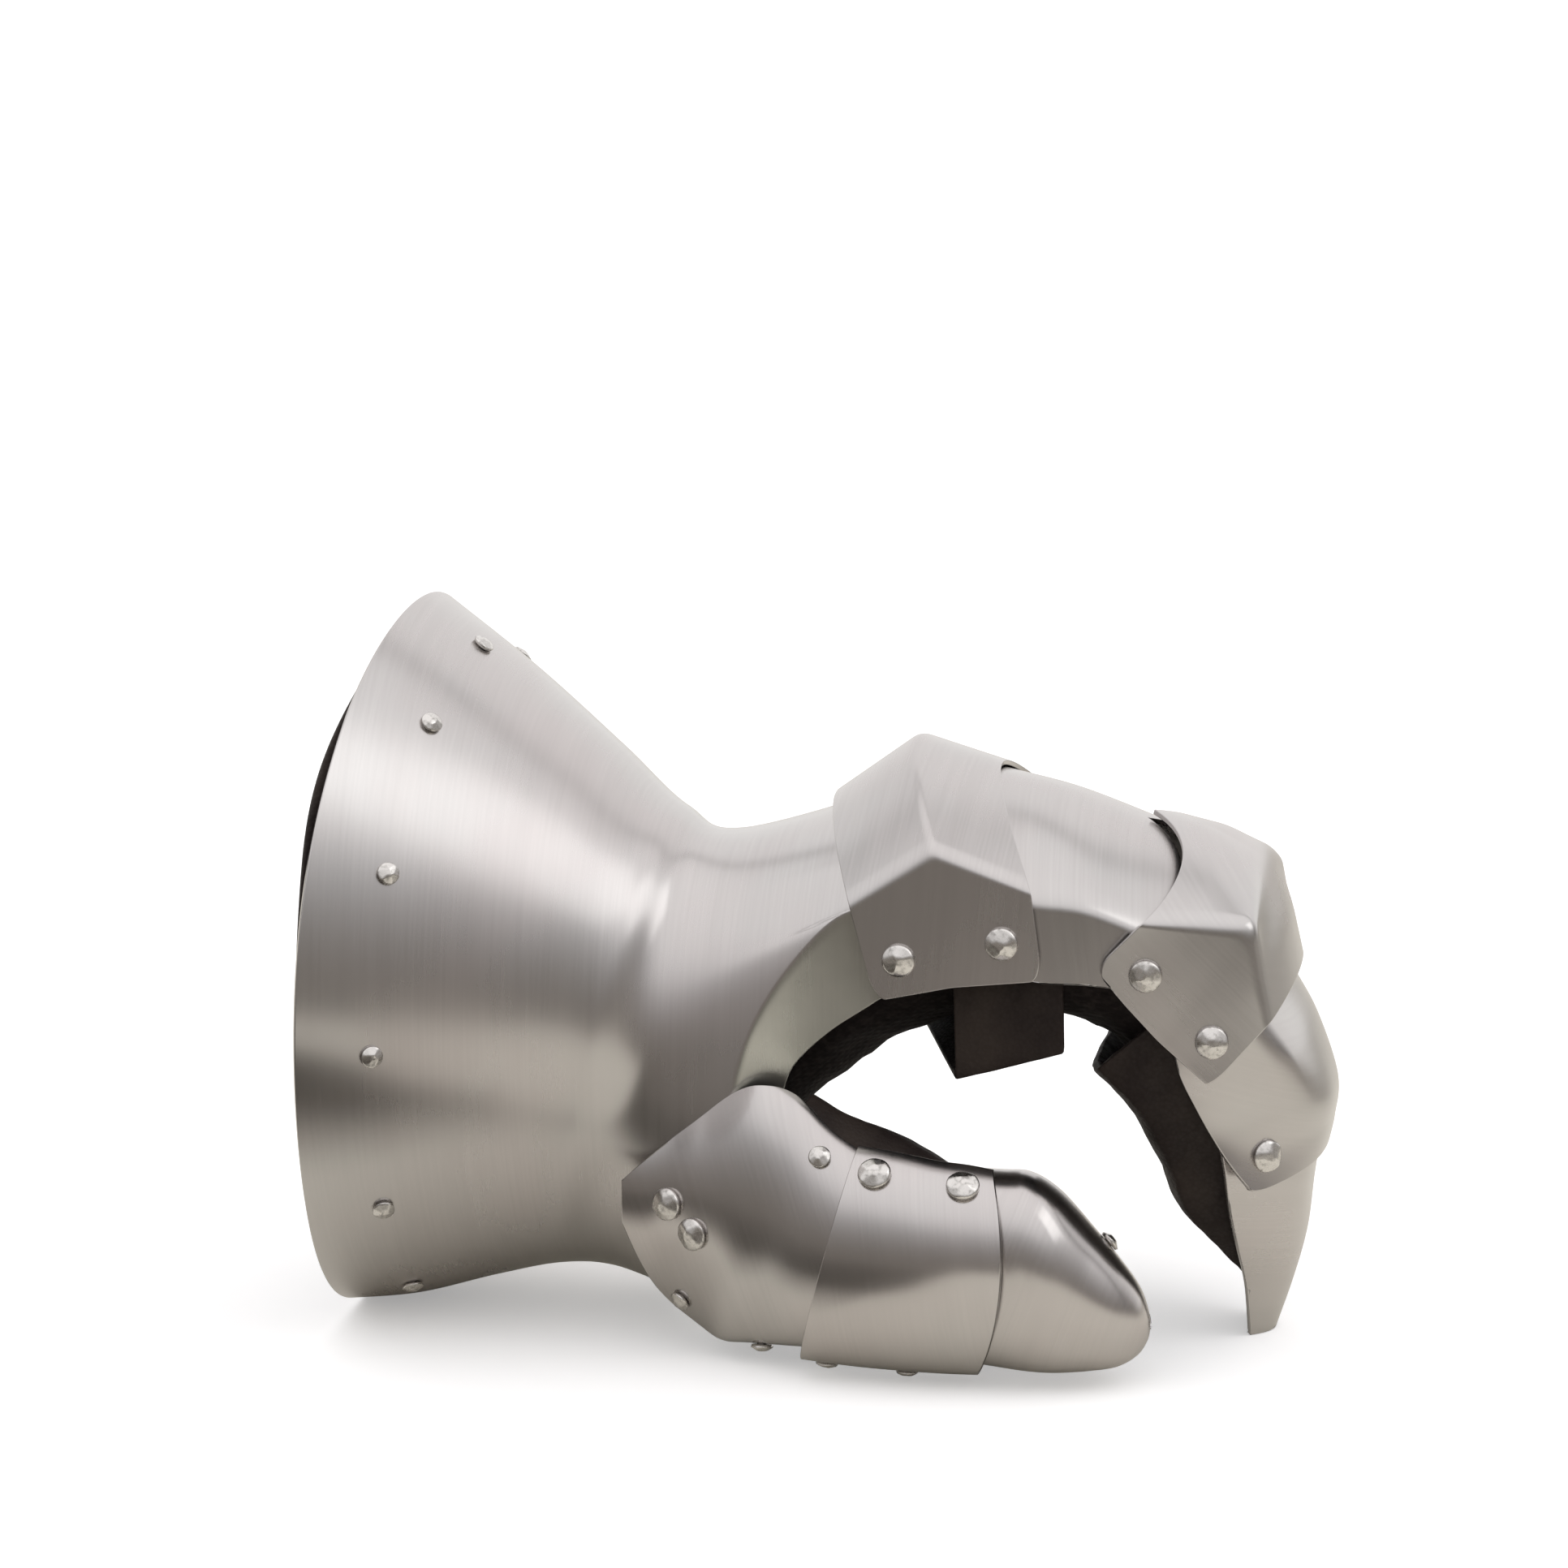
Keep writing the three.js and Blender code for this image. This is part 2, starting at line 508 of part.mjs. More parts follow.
// Hand and thumb of the cloth glove: middle x, y, z, lean, half width, half thickness.
const GLOVE_ROWS = [
  [-50, 0, 62, 8, 40, 32],
  [-25, 0, 68, -10, 42.5, 31],
  [0, 0, 85, -20, 42.5, 26.5],
  [25, 0, 96.5, -10, 42, 22],
  [50, 0, 100, 2, 42, 19.2],
  [72, 0, 97.5, 14, 41, 17.4],
  [90, 0, 88, 38, 38.5, 16.6],
  [102, 0, 72, 62, 35, 16.6],
  [108, 0, 54, 78, 27, 15.5],
  [111.5, 0, 38, 84, 20, 12],
  [114.6, 0, 24, 84, 14.5, 6],
  [116.8, 0, 15, 84, 7, 2.4],
  [117, 0, 13, 84, 0, 0],
];
const STALL_ROWS = [
  [8.4, -54.2, 40.4, 18, 7.8, 16.2],
  [18, -55.4, 33, 14, 9, 16.6],
  [32, -58, 29.6, 10, 10, 16.6],
  [46, -59.4, 28.2, 6, 10, 16.4],
  [60, -58.8, 26, 0, 11, 16.6],
  [73, -58.8, 21.4, -8, 10, 13.6],
  [81, -58.6, 18, -12, 7.4, 9],
  [86, -58.4, 16.4, -12, 0, 0],
];
const SOCK_SQUARENESS = 2.5;
function sockSurface(rows) {
  return (u, v) => {
    const t = clamp(v, 0, 1) * (rows.length - 1);
    const [mx, my, mz, lean, width, height] = smoothRow(rows, t);
    const across = width * power(Math.sin(u * 2 * Math.PI), 2 / SOCK_SQUARENESS);
    const up = height * power(Math.cos(u * 2 * Math.PI), 2 / SOCK_SQUARENESS);
    return point(mx + up * Math.sin(lean * DEG), my - across, mz + up * Math.cos(lean * DEG));
  };
}

// The thumb's stall is sewn from a sleeve and a tip, which meet at a seam.
const STALL_SEAM = 0.43;
const STALL_GAP = 0.005;
const stall = sockSurface(STALL_ROWS);

// ---- rivets -------------------------------------------------------------
const thumbSide = point(0, -1, 0);
const littleSide = point(0, 1, 0);
const down = point(0, 0, -1);
const [large, long, small] = [LARGE_RIVET, LONG_RIVET, SMALL_RIVET];

function cuffSeats() {
  return Array.from({ length: CUFF_RIVETS }, (_, k) => {
    const u = ((FIRST_CUFF_RIVET + k * CUFF_RIVET_STEP) % 360) / 360;
    const start = bodySurface(u, 0);
    let v = 0;
    while (bodySurface(u, v).distanceTo(start) < CUFF_RIVET_INSET) v += SEAT_STEP;
    const outward = point(0, -Math.sin(u * 360 * DEG), Math.cos(u * 360 * DEG));
    return seatOn(bodySurface, bodySurface(u, v), outward, CUFF_RIVET);
  });
}

function pair(surface, x, y, z, size) {
  return [
    seatOn(surface, point(x, y, z), thumbSide, size),
    seatOn(surface, point(x, -y, z), littleSide, size),
  ];
}

const seats = {
  cuff: cuffSeats(),
  knuckle_rear: pair(knuckleSurface, 31.2, -51, 99.7, large),
  knuckle_front: pair(knuckleSurface, 55.8, -51, 104.5, large),
  second_rear: pair(secondSurface, 89.7, -47.5, 97.1, large),
  second_front: pair(secondSurface, 105.5, -46, 81.1, large),
  finger_end: pair(endSurface, 118.4, -33, 50.8, large),
  thumb_base: [
    seatOn(thumbBaseSurface, point(-24.4, -56, 39), thumbSide, large),
    seatOn(thumbBaseSurface, point(-16.2, -57, 32.8), thumbSide, large),
    seatOn(thumbBaseSurface, point(14.6, -67, 55), thumbSide, small),
    seatOn(thumbBaseSurface, point(-1, -56, 5), down, small),
    seatOn(thumbBaseSurface, point(-20.5, -48, 15), thumbSide, small),
  ],
  thumb_middle: [
    seatOn(thumbMiddleSurface, point(28.5, -70, 50.6), thumbSide, long),
    seatOn(thumbMiddleSurface, point(49.2, -70, 47.4), thumbSide, large),
    seatOn(thumbMiddleSurface, point(15.4, -59.5, 3), down, small),
    seatOn(thumbMiddleSurface, point(35, -60.5, 3), down, small),
  ],
  thumb_tip: [seatOn(thumbTipSurface, point(82, -52, 33), point(0.6, 0.4, 0.7), small)],
};

// ---- assembly -----------------------------------------------------------
const axisPoint = point(-60, 0, 88);
const underKnuckles = point(50, 0, 90);
const insideFingers = point(90, 0, 60);
const insideThumb = point(30, -58, 28);
const insideGlove = point(25, 0, 96);

function addSheet(name, surface, columns, rows, thickness, inside, material, holes = []) {
  const wall = thicken(gridSurface(surface, columns, rows), thickness, inside);
  addMesh(name, holes.length ? drill(wall, holes) : wall, material);
}

addSheet("gauntlet_body", bodySurface, 48, 12, STEEL, axisPoint, steel,
  [...seats.cuff, ...seats.knuckle_rear, ...seats.thumb_base]);
addSheet("knuckle_plate", knuckleSurface, 20, 4, STEEL, underKnuckles, steel,
  [...seats.knuckle_rear, ...seats.knuckle_front]);
addSheet("finger_plate", fingerSurface, 20, 3, STEEL, underKnuckles, steel,
  [...seats.knuckle_front, ...seats.second_rear]);
addSheet("second_knuckle_plate", secondSurface, 20, 4, STEEL, insideFingers, steel,
  [...seats.second_rear, ...seats.second_front]);
addSheet("finger_end_plate", endSurface, 20, 5, STEEL, insideFingers, steel,
  [...seats.second_front, ...seats.finger_end]);
addSheet("thumb_base_plate", thumbBaseSurface, 14, 6, STEEL, insideThumb, steel,
  [...seats.thumb_base, ...seats.thumb_middle]);
addSheet("thumb_knuckle_plate", thumbMiddleSurface, 14, 4, STEEL, insideThumb, steel, seats.thumb_middle);
addSheet("thumb_tip_plate", thumbTipSurface, 18, 8, STEEL, insideThumb, steel,
  [...seats.thumb_middle, ...seats.thumb_tip]);
addSheet("thumb_leather", thumbLeatherSurface, 8, 4, LEATHER, insideThumb, leather);
addSheet("cuff_lining", liningSurface, 36, 1, LEATHER, axisPoint, leather, seats.cuff);
addSheet("finger_leather", fingerLeatherSurface, 14, 5, LEATHER, insideFingers, leather);
addSheet("palm_strap", strapSurface, 16, 1, LEATHER, underKnuckles, leather);
addSheet("hand_glove", sockSurface(GLOVE_ROWS), 16, 12, CLOTH, insideGlove, cloth);
addSheet("thumb_glove", (u, v) => stall(u, v * STALL_SEAM), 12, 4, CLOTH, insideThumb, cloth);
addSheet("thumb_glove_tip", (u, v) => stall(u, mix(STALL_SEAM + STALL_GAP, 1, v)), 12, 4,
  CLOTH, insideThumb, cloth);

const tipWall = drill(thicken(gridSurface(tipSurface, 16, 5), STEEL, insideFingers), seats.finger_end);
addMesh("fingertip_plate", trimAtFloor(tipWall), steel);

for (const [group, list] of Object.entries(seats)) {
  list.forEach((seat, k) => addRivet(`rivet_${group}_${k + 1}`, seat));
}

gauntlet.position.x = ORIGIN_SHIFT;
export default gauntlet;
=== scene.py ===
"""Left-hand hourglass mitten gauntlet in brushed steel, lying palm down on its cuff, thumb and fingertips.

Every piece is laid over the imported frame: +X runs to the fingers, -Y to the thumb side, +Z up, in metres.
The forms below are given in millimetres from under the wrist and are moved into the frame by ``placed``.
"""

from __future__ import annotations

import logging
import math
import random
from bisect import bisect_left
from dataclasses import dataclass, field
from enum import Enum
from itertools import zip_longest
from typing import Any, Callable, Iterable, Sequence

import bmesh
import bpy
from mathutils import Matrix, Vector, noise

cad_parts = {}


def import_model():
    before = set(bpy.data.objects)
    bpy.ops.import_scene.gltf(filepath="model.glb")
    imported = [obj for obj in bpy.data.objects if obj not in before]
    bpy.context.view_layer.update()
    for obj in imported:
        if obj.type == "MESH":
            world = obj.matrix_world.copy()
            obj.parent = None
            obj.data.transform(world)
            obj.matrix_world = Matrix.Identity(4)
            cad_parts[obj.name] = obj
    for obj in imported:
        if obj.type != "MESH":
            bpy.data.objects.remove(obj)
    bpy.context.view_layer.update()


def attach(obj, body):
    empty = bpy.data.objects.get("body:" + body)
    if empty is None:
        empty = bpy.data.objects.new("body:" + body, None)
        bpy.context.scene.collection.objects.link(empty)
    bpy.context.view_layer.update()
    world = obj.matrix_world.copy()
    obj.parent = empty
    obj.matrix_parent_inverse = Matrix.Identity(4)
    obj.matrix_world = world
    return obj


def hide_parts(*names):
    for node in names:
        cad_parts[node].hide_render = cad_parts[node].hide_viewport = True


LOG = logging.getLogger("gauntlet")

Row = Sequence[float]
Surface = Callable[[float, float], Vector]
Colour = tuple[float, float, float]

MM = 0.001
ORIGIN_SHIFT = -10.76
STEEL_WALL = 1.3
LEATHER_WALL = 2.0
CLOTH_WALL = 2.2


class Slot(Enum):
    """Material slots of the pieces."""

    STEEL = "brushed_steel"
    RIVET = "rivet_steel"
    LEATHER = "dark_leather"
    CLOTH = "black_cloth"


# ---- small shape functions ------------------------------------------------


def mix(a: float, b: float, t: float) -> float:
    """Straight blend from a to b."""
    return a + (b - a) * t


def clamp(value: float, low: float = 0.0, high: float = 1.0) -> float:
    """Value held between low and high."""
    return min(max(value, low), high)


def power(value: float, exponent: float) -> float:
    """Power that keeps the sign."""
    return math.copysign(abs(value) ** exponent, value)


def placed(x: float, y: float, z: float) -> Vector:
    """Point of the frame, in metres, for a point given in millimetres."""
    return Vector(((x + ORIGIN_SHIFT) * MM, y * MM, z * MM))


def smooth_row(rows: Sequence[Row], t: float, closed: bool = False) -> list[float]:
    """Smooth curve through rows of numbers, where what a short row leaves out is nothing.

    Args:
        rows: Rows of numbers.
        t: Place along the rows, 0 at the first one and 1 more at each next one.
        closed: Whether the last row leads back to the first.

    Returns:
        The numbers at that place.
    """
    count = len(rows)
    i = math.floor(t) if closed else min(math.floor(t), count - 2)
    f = t - i

    def pick(k: int) -> Row:
        """Row number k, wrapped round or held at the ends."""
        return rows[k % count if closed else int(clamp(k, 0, count - 1))]

    before, first, second, after = (pick(i + k) for k in (-1, 0, 1, 2))
    return [
        0.5 * (2 * b + (c - a) * f + (2 * a - 5 * b + 4 * c - d) * f * f + (3 * b - a - 3 * c + d) * f**3)
        for a, b, c, d in zip_longest(before, first, second, after, fillvalue=0.0)
    ]


def facet_row(rows: Sequence[Row], t: float) -> list[float]:
    """Straight facets between rows."""
    i = int(clamp(math.floor(t), 0, len(rows) - 2))
    return [mix(a, b, t - i) for a, b in zip_longest(rows[i], rows[i + 1], fillvalue=0.0)]


def rounded(before: Sequence[float], corner: Sequence[float], after: Sequence[float], t: float) -> list[float]:
    """Curve that rounds a corner off, from before at 0 to after at 1."""
    s = 1 - t
    corners = zip_longest(before, corner, after, fillvalue=0.0)
    return [s * s * a + 2 * s * t * b + t * t * c for a, b, c in corners]


def ridged_row(rows: Sequence[Row], t: float, soft: float) -> list[float]:
    """Facets between rows whose ridges are rounded.

    Args:
        rows: Rows of numbers.
        t: Place along the rows.
        soft: How far each side of a ridge the rounding reaches, as a share of a facet.

    Returns:
        The numbers at that place.
    """
    ridge = round(t)
    if not (0 < ridge < len(rows) - 1 and abs(t - ridge) < soft):
        return facet_row(rows, t)
    ends = facet_row(rows, ridge - soft), facet_row(rows, ridge + soft)
    return rounded(ends[0], rows[ridge], ends[1], (t - ridge + soft) / (2 * soft))


def gathered(places: Iterable[float], width: float, weight: float) -> Callable[[float], float]:
    """Spacing that gathers grid lines round some places.

    Args:
        places: Where lines are gathered, from 0 to 1.
        width: How far round each place.
        weight: How many times closer the lines are there.

    Returns:
        A function from an even spacing to the gathered one.
    """
    bins = 600
    marks = list(places)
    total = [0.0]
    for k in range(bins):
        here = (k + 0.5) / bins
        total.append(total[-1] + 1 + weight * sum(math.exp(-(((here - p) / width) ** 2)) for p in marks))

    def spaced(t: float) -> float:
        """Gathered place for an even one."""
        goal = clamp(t) * total[-1]
        k = max(bisect_left(total, goal), 1)
        return (k - 1 + (goal - total[k - 1]) / (total[k] - total[k - 1])) / bins

    return spaced


# ---- the forms of the sheets ---------------------------------------------


@dataclass(frozen=True)
class PlateForm:
    """A plate or leather that arches over the hand, as half sections mirrored to the other side.

    Each row holds a lower edge, a side crease and a crown point, then how full the crown is, how far its
    shoulder bows towards the fingers, and how soft the crease is. A bowed shoulder comes down by ``fall``.
    """

    rows: Sequence[Row]
    smooth: bool = False
    cut: tuple[float, float] = (0.0, 0.0)
    corner: float = 0.12
    ridge: float = 0.06
    crease: float = 0.024
    crease_at: float = 0.6
    fall: float = 0.0

    def section(self, values: Row, u: float) -> Vector:
        """Point of one section, u from the thumb side's edge to the other."""
        reach = abs(u - 0.5) * 2
        edge, crease, crown = values[0:3], values[3:6], values[6:9]
        full, bow, soft = (*values[9:], 0.0, 0.0, 0.0)[:3]
        shoulder = (crown[0] + bow, crease[1] * full, crown[2] - bow * self.fall)

        def creased(r: float) -> list[float]:
            """Crown arc down to the crease, then straight to the edge."""
            if r < self.crease_at:
                return rounded(crown, shoulder, crease, r / self.crease_at)
            w = (r - self.crease_at) / (1 - self.crease_at)
            return [mix(c, e, w) for c, e in zip(crease, edge)]

        start, end = self.crease_at - self.crease, self.crease_at + self.crease
        if start < reach < end:
            bent = rounded(creased(start), crease, creased(end), (reach - start) / (end - start))
        else:
            bent = creased(reach)
        q = 1 - reach
        weights = (q**3, 3 * q * q * reach, 3 * q * reach**2, reach**3)
        parts = zip(crown, shoulder, crease, edge)
        arched = [sum(w * p for w, p in zip(weights, four)) for four in parts]
        x, y, z = (mix(b, a, soft) for b, a in zip(bent, arched))
        return placed(x, y if u < 0.5 else -y, z)

    def at(self, u: float, v: float) -> Vector:
        """Point of the plate, v from its rear edge to its front edge."""
        over = clamp((abs(u - 0.5) * 2 - 1 + self.corner) / self.corner)
        clipped = 1 - math.sqrt(1 - over * over)
        last = len(self.rows) - 1
        t = clamp(mix(self.cut[0] * clipped, 1 - self.cut[1] * clipped, v) * last, 0, last)
        values = smooth_row(self.rows, t) if self.smooth else ridged_row(self.rows, t, self.ridge)
        return self.section(values, u)


@dataclass(frozen=True)
class TroughForm:
    """A plate that wraps round the thumb.

    Each row holds the middle's x and z, half height, lean, the middle's y, half depth, start and end angle
    and how far the near side bows towards the tip.
    """

    rows: Sequence[Row]
    squareness: float = 2.15

    def at(self, u: float, v: float) -> Vector:
        """Point of the plate, u round the thumb from the top and v towards its tip."""
        mx, mz, height, lean, my, depth, start, end, bow = smooth_row(self.rows, clamp(v) * (len(self.rows) - 1))
        angle = math.radians(mix(start, end, u))
        up = height * power(math.cos(angle), 2 / self.squareness)
        out = depth * power(math.sin(angle), 2 / self.squareness)
        tilt = math.radians(lean)
        x = mx + up * math.sin(tilt) + bow * (out / max(depth, 1e-3)) ** 2
        return placed(x, my - out, mz + up * math.cos(tilt))


@dataclass(frozen=True)
class SockForm:
    """A closed sleeve: each row holds its middle, lean, half width and half thickness."""

    rows: Sequence[Row]
    squareness: float = 2.5

    def at(self, u: float, v: float) -> Vector:
        """Point of the sleeve, u round it and v from its mouth to its tip."""
        mx, my, mz, lean, width, height = smooth_row(self.rows, clamp(v) * (len(self.rows) - 1))
        across = width * power(math.sin(u * 2 * math.pi), 2 / self.squareness)
        up = height * power(math.cos(u * 2 * math.pi), 2 / self.squareness)
        tilt = math.radians(lean)
        return placed(mx + up * math.sin(tilt), my - across, mz + up * math.cos(tilt))


@dataclass(frozen=True)
class BodyForm:
    """Cuff, waist and back of the hand in one sheet, with a creased side band round the hand opening.

    ``rings`` hold top x, top z, bottom x, bottom z, half width, swing and skew of the sides, squareness;
    the two loops hold an angle from the top towards the thumb and a point.
    """

    rings: Sequence[Row]
    crease: Sequence[Row]
    edge: Sequence[Row]
    little_crease: Sequence[Row]
    little_edge: Sequence[Row]
    band_share: float = 1 / 6
    soft_before: float = 0.010
    soft_after: float = 0.022
    crease_loop: list[Row] = field(init=False, default_factory=list)
    edge_loop: list[Row] = field(init=False, default_factory=list)

    def __post_init__(self) -> None:
        """Closes both loops round the little-finger side."""
        self.crease_loop.extend(self.mirrored(self.crease, self.little_crease))
        self.edge_loop.extend(self.mirrored(self.edge, self.little_edge))

    @staticmethod
    def mirrored(half: Sequence[Row], little: Sequence[Row]) -> list[Row]:
        """Whole loop from the thumb side's half and the points that differ on the other side."""
        swapped = {row[0]: row for row in little}
        back = []
        for angle, x, y, z in reversed(half[1:-1]):
            other = swapped.get(angle, (angle, x, -y, z))
            back.append((360 - angle, *other[1:]))
        return [*half, *back]

    @staticmethod
    def loop_point(loop: Sequence[Row], angle: float) -> list[float]:
        """Point of a closed loop at an angle."""
        angles = [row[0] for row in loop]
        i = max(bisect_left(angles, angle + 1e-6) - 1, 0)
        following = angles[i + 1] if i + 1 < len(loop) else 360
        t = i + (angle - angles[i]) / (following - angles[i])
        return smooth_row([row[1:] for row in loop], t, closed=True)

    @staticmethod
    def ring_point(ring: Row, angle: float) -> list[float]:
        """Point of one ring of the cuff at an angle."""
        top_x, top_z, bottom_x, bottom_z, half, swing, skew, squareness = ring
        across = power(math.sin(math.radians(angle)), 2 / squareness)
        up = power(math.cos(math.radians(angle)), 2 / squareness)
        x = mix(bottom_x, top_x, (1 + up) / 2) + swing * across + skew * up * across**2
        return [x, -half * across, mix(bottom_z, top_z, (1 + up) / 2)]

    def raw(self, u: float, v: float) -> list[float]:
        """Point in millimetres before the crease is rounded."""
        angle = (u % 1) * 360
        crease = self.loop_point(self.crease_loop, angle)
        knee = 1 - self.band_share
        if v > knee:
            edge = self.loop_point(self.edge_loop, angle)
            return [mix(c, e, (v - knee) / self.band_share) for c, e in zip(crease, edge)]
        stations = [*(self.ring_point(ring, angle) for ring in self.rings), crease]
        return smooth_row(stations, v / knee * (len(stations) - 1))

    def at(self, u: float, v: float) -> Vector:
        """Point of the body, u round it from the top and v from the cuff's rim to the hand's edge."""
        knee = 1 - self.band_share
        start, end = knee - self.soft_before, knee + self.soft_after
        if start < v < end:
            ends = self.raw(u, start), self.raw(u, end)
            return placed(*rounded(ends[0], self.raw(u, knee), ends[1], (v - start) / (end - start)))
        return placed(*self.raw(u, v))


BODY = BodyForm(
    rings=(
        (-94.5, 177.6, -110, 0.2, 87.4, -5.2, -4.5, 2.0),
        (-71, 159.8, -93, 2.2, 76, -4.5, -2.5, 2.05),
        (-48, 140.5, -74, 7.4, 63, -2.5, -1, 2.1),
        (-31, 125.5, -58, 11, 53, -1, 0, 2.2),
        (-15, 120.3, -45, 10.6, 47, 0, 0, 2.3),
    ),
    crease=(
        (0, 34, 0, 135.5), (22.5, 33.5, -22, 132.6), (37.5, 32.5, -35, 126.6), (45, 31.5, -41, 122),
        (52.5, 29.5, -46, 117), (60, 25, -48.6, 113.4), (67.5, 16.5, -49, 109.5), (75, 8, -49.3, 101),
        (82.5, 0, -49.6, 90), (90, -5.5, -50, 79), (97.5, -8.8, -50.5, 67.5), (105, -9.5, -51, 56),
        (120, -9, -51, 38), (135, -11, -47, 22), (150, -19, -36, 11.5), (165, -28, -19, 8), (180, -35, 0, 7.5),
    ),
    edge=(
        (0, 38, 0, 136.5), (22.5, 37.5, -22, 133.6), (37.5, 36.5, -35, 127.4), (45, 36, -41, 122.6),
        (52.5, 35.5, -46, 113), (60, 34, -47.6, 95.5), (67.5, 25, -47, 88.4), (75, 15, -47, 81.6),
        (82.5, 8, -47, 75.3), (90, 4.2, -47, 70), (97.5, 2.2, -47.6, 62), (105, 2, -48.4, 53),
        (120, 2, -48.4, 37), (135, 0, -44, 21), (150, -10, -34, 9), (165, -20, -18, 5), (180, -29, 0, 4.2),
    ),
    little_crease=(
        (97.5, -10, 50, 67.5), (105, -13.5, 49.6, 56), (120, -23, 46, 38),
        (135, -30, 39, 23), (150, -34, 28, 13), (165, -36, 15, 8.6),
    ),
    little_edge=(
        (97.5, 0.5, 47, 61.5), (105, -3.5, 46.8, 51), (120, -13.5, 44, 34),
        (135, -21.5, 37.4, 20), (150, -27, 27, 10.4), (165, -29.5, 14.5, 5.4),
    ),
)

KNUCKLE = PlateForm(
    rows=(
        (25.5, -51.4, 89.5, 18.9, -51.2, 113.5, 8.6, 0, 131.2, 0.4),
        (44, -51.4, 93.4, 39.2, -51.2, 126.9, 28.5, 0, 145.6, 0.38),
        (65.6, -51.2, 95.6, 62.5, -51.2, 118, 49.8, 0, 139.3, 0.38),
    ),
    cut=(0.07, 0.07),
    crease=0.034,
)
FINGER = PlateForm(
    rows=(
        (50, -48.6, 97, 50, -48.6, 118.8, 41, 0, 139, 0.44),
        (64, -48.2, 94.5, 62.5, -48.2, 115.4, 52.6, 0, 136.8, 0.44),
        (76, -47, 94, 75.7, -47, 113.4, 67, 0, 133.2, 0.48, 4),
        (90, -44.6, 92, 94.2, -43.6, 105.4, 85.6, 0, 126.6, 0.43, 16),
    ),
    smooth=True,
    crease=0.06,
    fall=0.33,
)
SECOND = PlateForm(
    rows=(
        (77.6, -48.8, 98.4, 89.5, -48.4, 110.6, 87, 0, 128.7, 0.46, 17),
        (85, -47.8, 89.6, 102, -46.8, 110.4, 101, 0, 125, 0.48, 6),
        (92.5, -46.8, 81.3, 115.5, -45.2, 110, 113.8, 0, 118.2, 0.5),
        (99, -46.2, 75.4, 117.3, -44.6, 97, 120.4, 0, 103.5, 0.55),
        (105.3, -45.8, 70, 119.4, -43.8, 86, 123.4, 0, 90.5, 0.6),
    ),
    cut=(0.08, 0.05),
    ridge=0.26,
    crease=0.05,
    fall=0.28,
)
FINGER_END = PlateForm(
    rows=(
        (95.5, -43, 82, 113.6, -41.6, 96, 116.6, 0, 101, 0.55, 0, 0.1),
        (97.5, -42.8, 72.5, 116.6, -41, 86, 119.8, 0, 89.5, 0.55, 0, 0.15),
        (102, -41.6, 63, 124.4, -36, 75, 127.2, 0, 76, 0.62, 0, 0.3),
        (105.8, -40.2, 56, 129.4, -29, 63.5, 132.6, 0, 62, 0.7, 0, 0.65),
        (110.2, -38.6, 49, 129.6, -24, 54, 132.2, 0, 53.5, 0.7, 0, 1),
        (115.4, -36, 42, 128.4, -23, 45, 131, 0, 47.6, 0.7, 0, 1),
    ),
    smooth=True,
    cut=(0, 0.05),
    crease=0.08,
)
FINGERTIP = PlateForm(
    rows=(
        (106.6, -37.2, 58, 124.5, -25, 60, 129, 0, 61, 0.7, 0, 1),
        (108.2, -35.2, 47.5, 125.4, -22.4, 48.5, 128.8, 0, 49, 0.7, 0, 1),
        (109.2, -30.4, 36, 124.6, -19.6, 37, 127.4, 0, 37.5, 0.7, 0, 1),
        (110.8, -24.6, 25.3, 122.8, -16, 25, 126, 0, 25, 0.7, 0, 1),
        (112.4, -16.8, 13.5, 120, -11.4, 12.5, 122.8, 0, 12.5, 0.7, 0, 1),
        (113.2, -10, -1.5, 116.6, -7, -1.5, 118.2, 0, -1.5, 0.7, 0, 1),
    ),
    smooth=True,
)
THUMB_BASE = TroughForm(
    rows=(
        (-36, 39, 36, 0, -12, 40.4, 84, 98, 0),
        (-28, 38, 36, 2, -15, 38.4, 70, 126, 0),
        (-18, 38, 35.6, 5, -27, 31.4, 52, 146, 0),
        (-7, 37.6, 34, 9, -47.6, 16.4, 22, 164, 0),
        (1.6, 36.2, 31.8, 11, -52.4, 14.8, 10, 180, 0),
        (12, 32.8, 27.6, 13, -56.6, 15.2, 14, 186, 0),
        (28, 29, 23.2, 13, -59.6, 15.8, 14, 188, 0),
    )
)
THUMB_KNUCKLE = TroughForm(
    rows=(
        (16.5, 30.8, 28, 14.5, -59.5, 18.4, 12, 204, 0),
        (27.5, 29.8, 27.6, 11, -60, 19.4, 12, 204, 1),
        (38.5, 28.8, 26.8, 8, -60.5, 20, 12, 204, 2.5),
        (47, 28.3, 26.4, 6, -60.5, 20, 12, 204, 4),
        (54, 27.8, 25.8, 4, -60.5, 19.2, 12, 204, 5.5),
    )
)
THUMB_TIP = TroughForm(
    rows=(
        (44, 28.8, 22.8, 7, -60, 16.6, 4, 206, 0),
        (56, 27.9, 23.4, 3, -60, 16.8, -20, 214, 0),
        (64, 27.2, 23.7, 0, -60, 17, -50, 230, 0),
        (71, 25, 21.6, 0, -60, 16.6, -60, 240, 0),
        (79, 20.7, 16.8, 0, -59, 14.4, -60, 240, 0),
        (85.5, 17.4, 12.4, 0, -58.5, 11.6, -60, 240, 0),
        (90, 15.6, 8, 0, -58, 7.8, -60, 240, 0),
        (92.2, 14.6, 3.6, 0, -58, 3.6, -60, 240, 0),
        (92.8, 14.2, 0, 0, -58, 0, -60, 240, 0),
    ),
    squareness=2.4,
)
